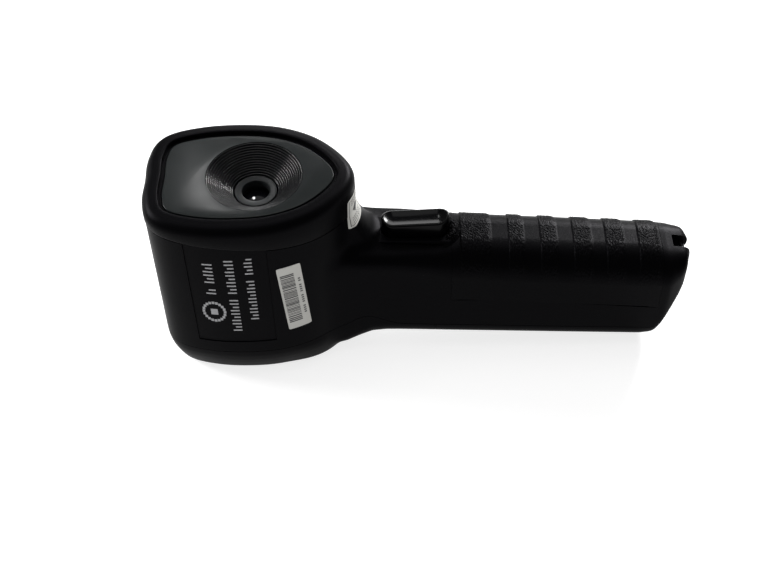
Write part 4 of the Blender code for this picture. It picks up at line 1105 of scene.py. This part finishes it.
def make_back():
    window = rounded_slab(WINDOW_X, WINDOW_HALF, WINDOW_Z, 0.0015, edge=0.0003)
    dress(window, "display_glass", "glass", "camera", "display_window")
    low, high = WINDOW_X
    centre = (low + high) / 2
    frame_bars = []
    for side in (-1, 1):
        frame_bars.append(bar(centre, side * (WINDOW_HALF - 0.0016), high - low - 0.0026, 0.0012))
        frame_bars.append(bar(centre + side * ((high - low) / 2 - 0.0016), 0.0, 0.0012,
                              2 * WINDOW_HALF - 0.0044))
    flat_print("display_border", frame_bars, WINDOW_Z[0], "camera", "ink")

    shapes = {
        "menu": [bar(0.0, 0.0011 * k, 0.0026, 0.00045) for k in (-1, 0, 1)],
        "power": [bar(0.0013 * math.cos(a), 0.0013 * math.sin(a), 0.0005, 0.00045,
                      a + math.pi / 2)
                  for a in (math.pi * (0.62 + 1.76 * k / 13) for k in range(14))]
        + [bar(0.0, 0.0009, 0.00045, 0.0015)],
        "up": [[(-0.0013, -0.0009), (0.0013, -0.0009), (0.0, 0.0013)]],
        "down": [[(-0.0013, 0.0009), (0.0, -0.0013), (0.0013, 0.0009)]],
    }
    for name, (x, y) in KEY_PLACES.items():
        profile = [(0.0, KEY_FACE + 0.0001), (0.0018, KEY_FACE + 0.00004)]
        profile += [(KEY_RADIUS - 0.0006 * (1 - math.sin(a)),
                     KEY_FACE + 0.0006 * (1 - math.cos(a)))
                    for a in (math.pi / 2 * k / 8 for k in range(9))]
        profile += [(KEY_RADIUS, 0.0033), (0.0015, 0.0033), (0.0015, 0.0096), (0.0, 0.0096)]
        key = lathe("key", profile, x, y, 64, closed=False)
        dress(key, name + "_button", "rubber", name + "_key", "key_" + name)
        marks = [[(x + px, y + py) for px, py in shape] for shape in shapes[name]]
        flat_print(name + "_symbol", marks, KEY_FACE + 0.00008, name + "_key")


def make_screws():
    for i, (x, y, face) in enumerate(COVER_SCREWS):
        head = face + 0.0010
        profile = [(0.0, head), (0.0017, head), (0.0021, head + 0.0002), (0.0023, head + 0.0006),
                   (0.0023, face + 0.0027), (0.0011, face + 0.0027), (0.0011, 0.0260),
                   (0.0, 0.0260)]
        screw = lathe("screw", profile, x, y, 48, closed=False)
        cross = [block((x - a, y - b, head - 0.001), (x + a, y + b, head + 0.0009))
                 for a, b in ((0.0013, 0.00028), (0.00028, 0.0013))]
        cut(screw, [as_object(bm, "tool", smooth=False) for bm in cross])
        dress(soften(screw), "case_screw_%d" % (i + 1), "steel", "camera",
              "cover_screw_%d" % (i + 1))


# ---------------------------------------------------------------- end of the handle
CHAMFER_AT = Vector((0.10495, 0.0, 0.0210))
CHAMFER_TILT = math.radians(18.3)
FLAP_HALF = (0.0074, 0.0050)
FLAP_THICK = 0.0012
STRAP_BAR = (0.1077, 0.0442)


def on_chamfer(obj):
    """Moves a helper from the origin to the chamfer, turned to lie on it."""
    obj.data.transform(Matrix.Translation(CHAMFER_AT) @ Matrix.Rotation(CHAMFER_TILT, 4, "Y"))
    return obj


def flap_slab(margin, low, high, edge=0.0):
    """Rounded plate on the end chamfer, from one depth to another along its normal."""
    slab = rounded_slab((-FLAP_HALF[1] - margin, FLAP_HALF[1] + margin), FLAP_HALF[0] + margin,
                        (-high, -low), 0.0018, edge)
    # the slab's plan x becomes local z, and its height becomes minus the local normal
    slab.data.transform(Matrix(((0, 0, -1, 0), (0, 1, 0, 0), (1, 0, 0, 0), (0, 0, 0, 1))))
    return on_chamfer(slab)


def flap_tools():
    mouth = on_chamfer(as_object(block((-0.009, -0.0056, -0.002), (0.01, 0.0056, 0.002)), "tool",
                                 smooth=False))
    return [flap_slab(0.00015, -FLAP_THICK - 0.0002, 0.01), mouth]


def make_handle_end():
    flap = flap_slab(0.0, -FLAP_THICK, -0.00002, edge=0.0004)
    plug = on_chamfer(as_object(block((-0.0026, -0.0050, -0.0014),
                                      (-FLAP_THICK / 2, 0.0050, 0.0014)), "tool", smooth=False))
    nail = on_chamfer(as_object(block((-0.0005, -0.0030, -0.0046), (0.001, 0.0030, -0.0036)),
                                "tool", smooth=False))
    cut(flap, [plug], "UNION")
    cut(flap, [nail])
    dress(soften(flap), "port_flap", "rubber", "flap", "usb_flap")
    x, z = STRAP_BAR
    rod = as_object(disc(0.0011, -0.0031, 0.0031, 0.0, 0.0, 40), "rod")
    rod.data.transform(Matrix.Translation((x, 0.0, z)) @ Matrix.Rotation(math.pi / 2, 4, "X"))
    dress(rod, "strap_pin", "pin", "camera", "strap_bar")


make_camera()
make_stage()
finish_nodes()
make_casing()
make_grip()
make_plate()
make_labels()
make_bezel()
make_seal()
make_lens()
make_trigger()
make_back()
make_screws()
make_handle_end()
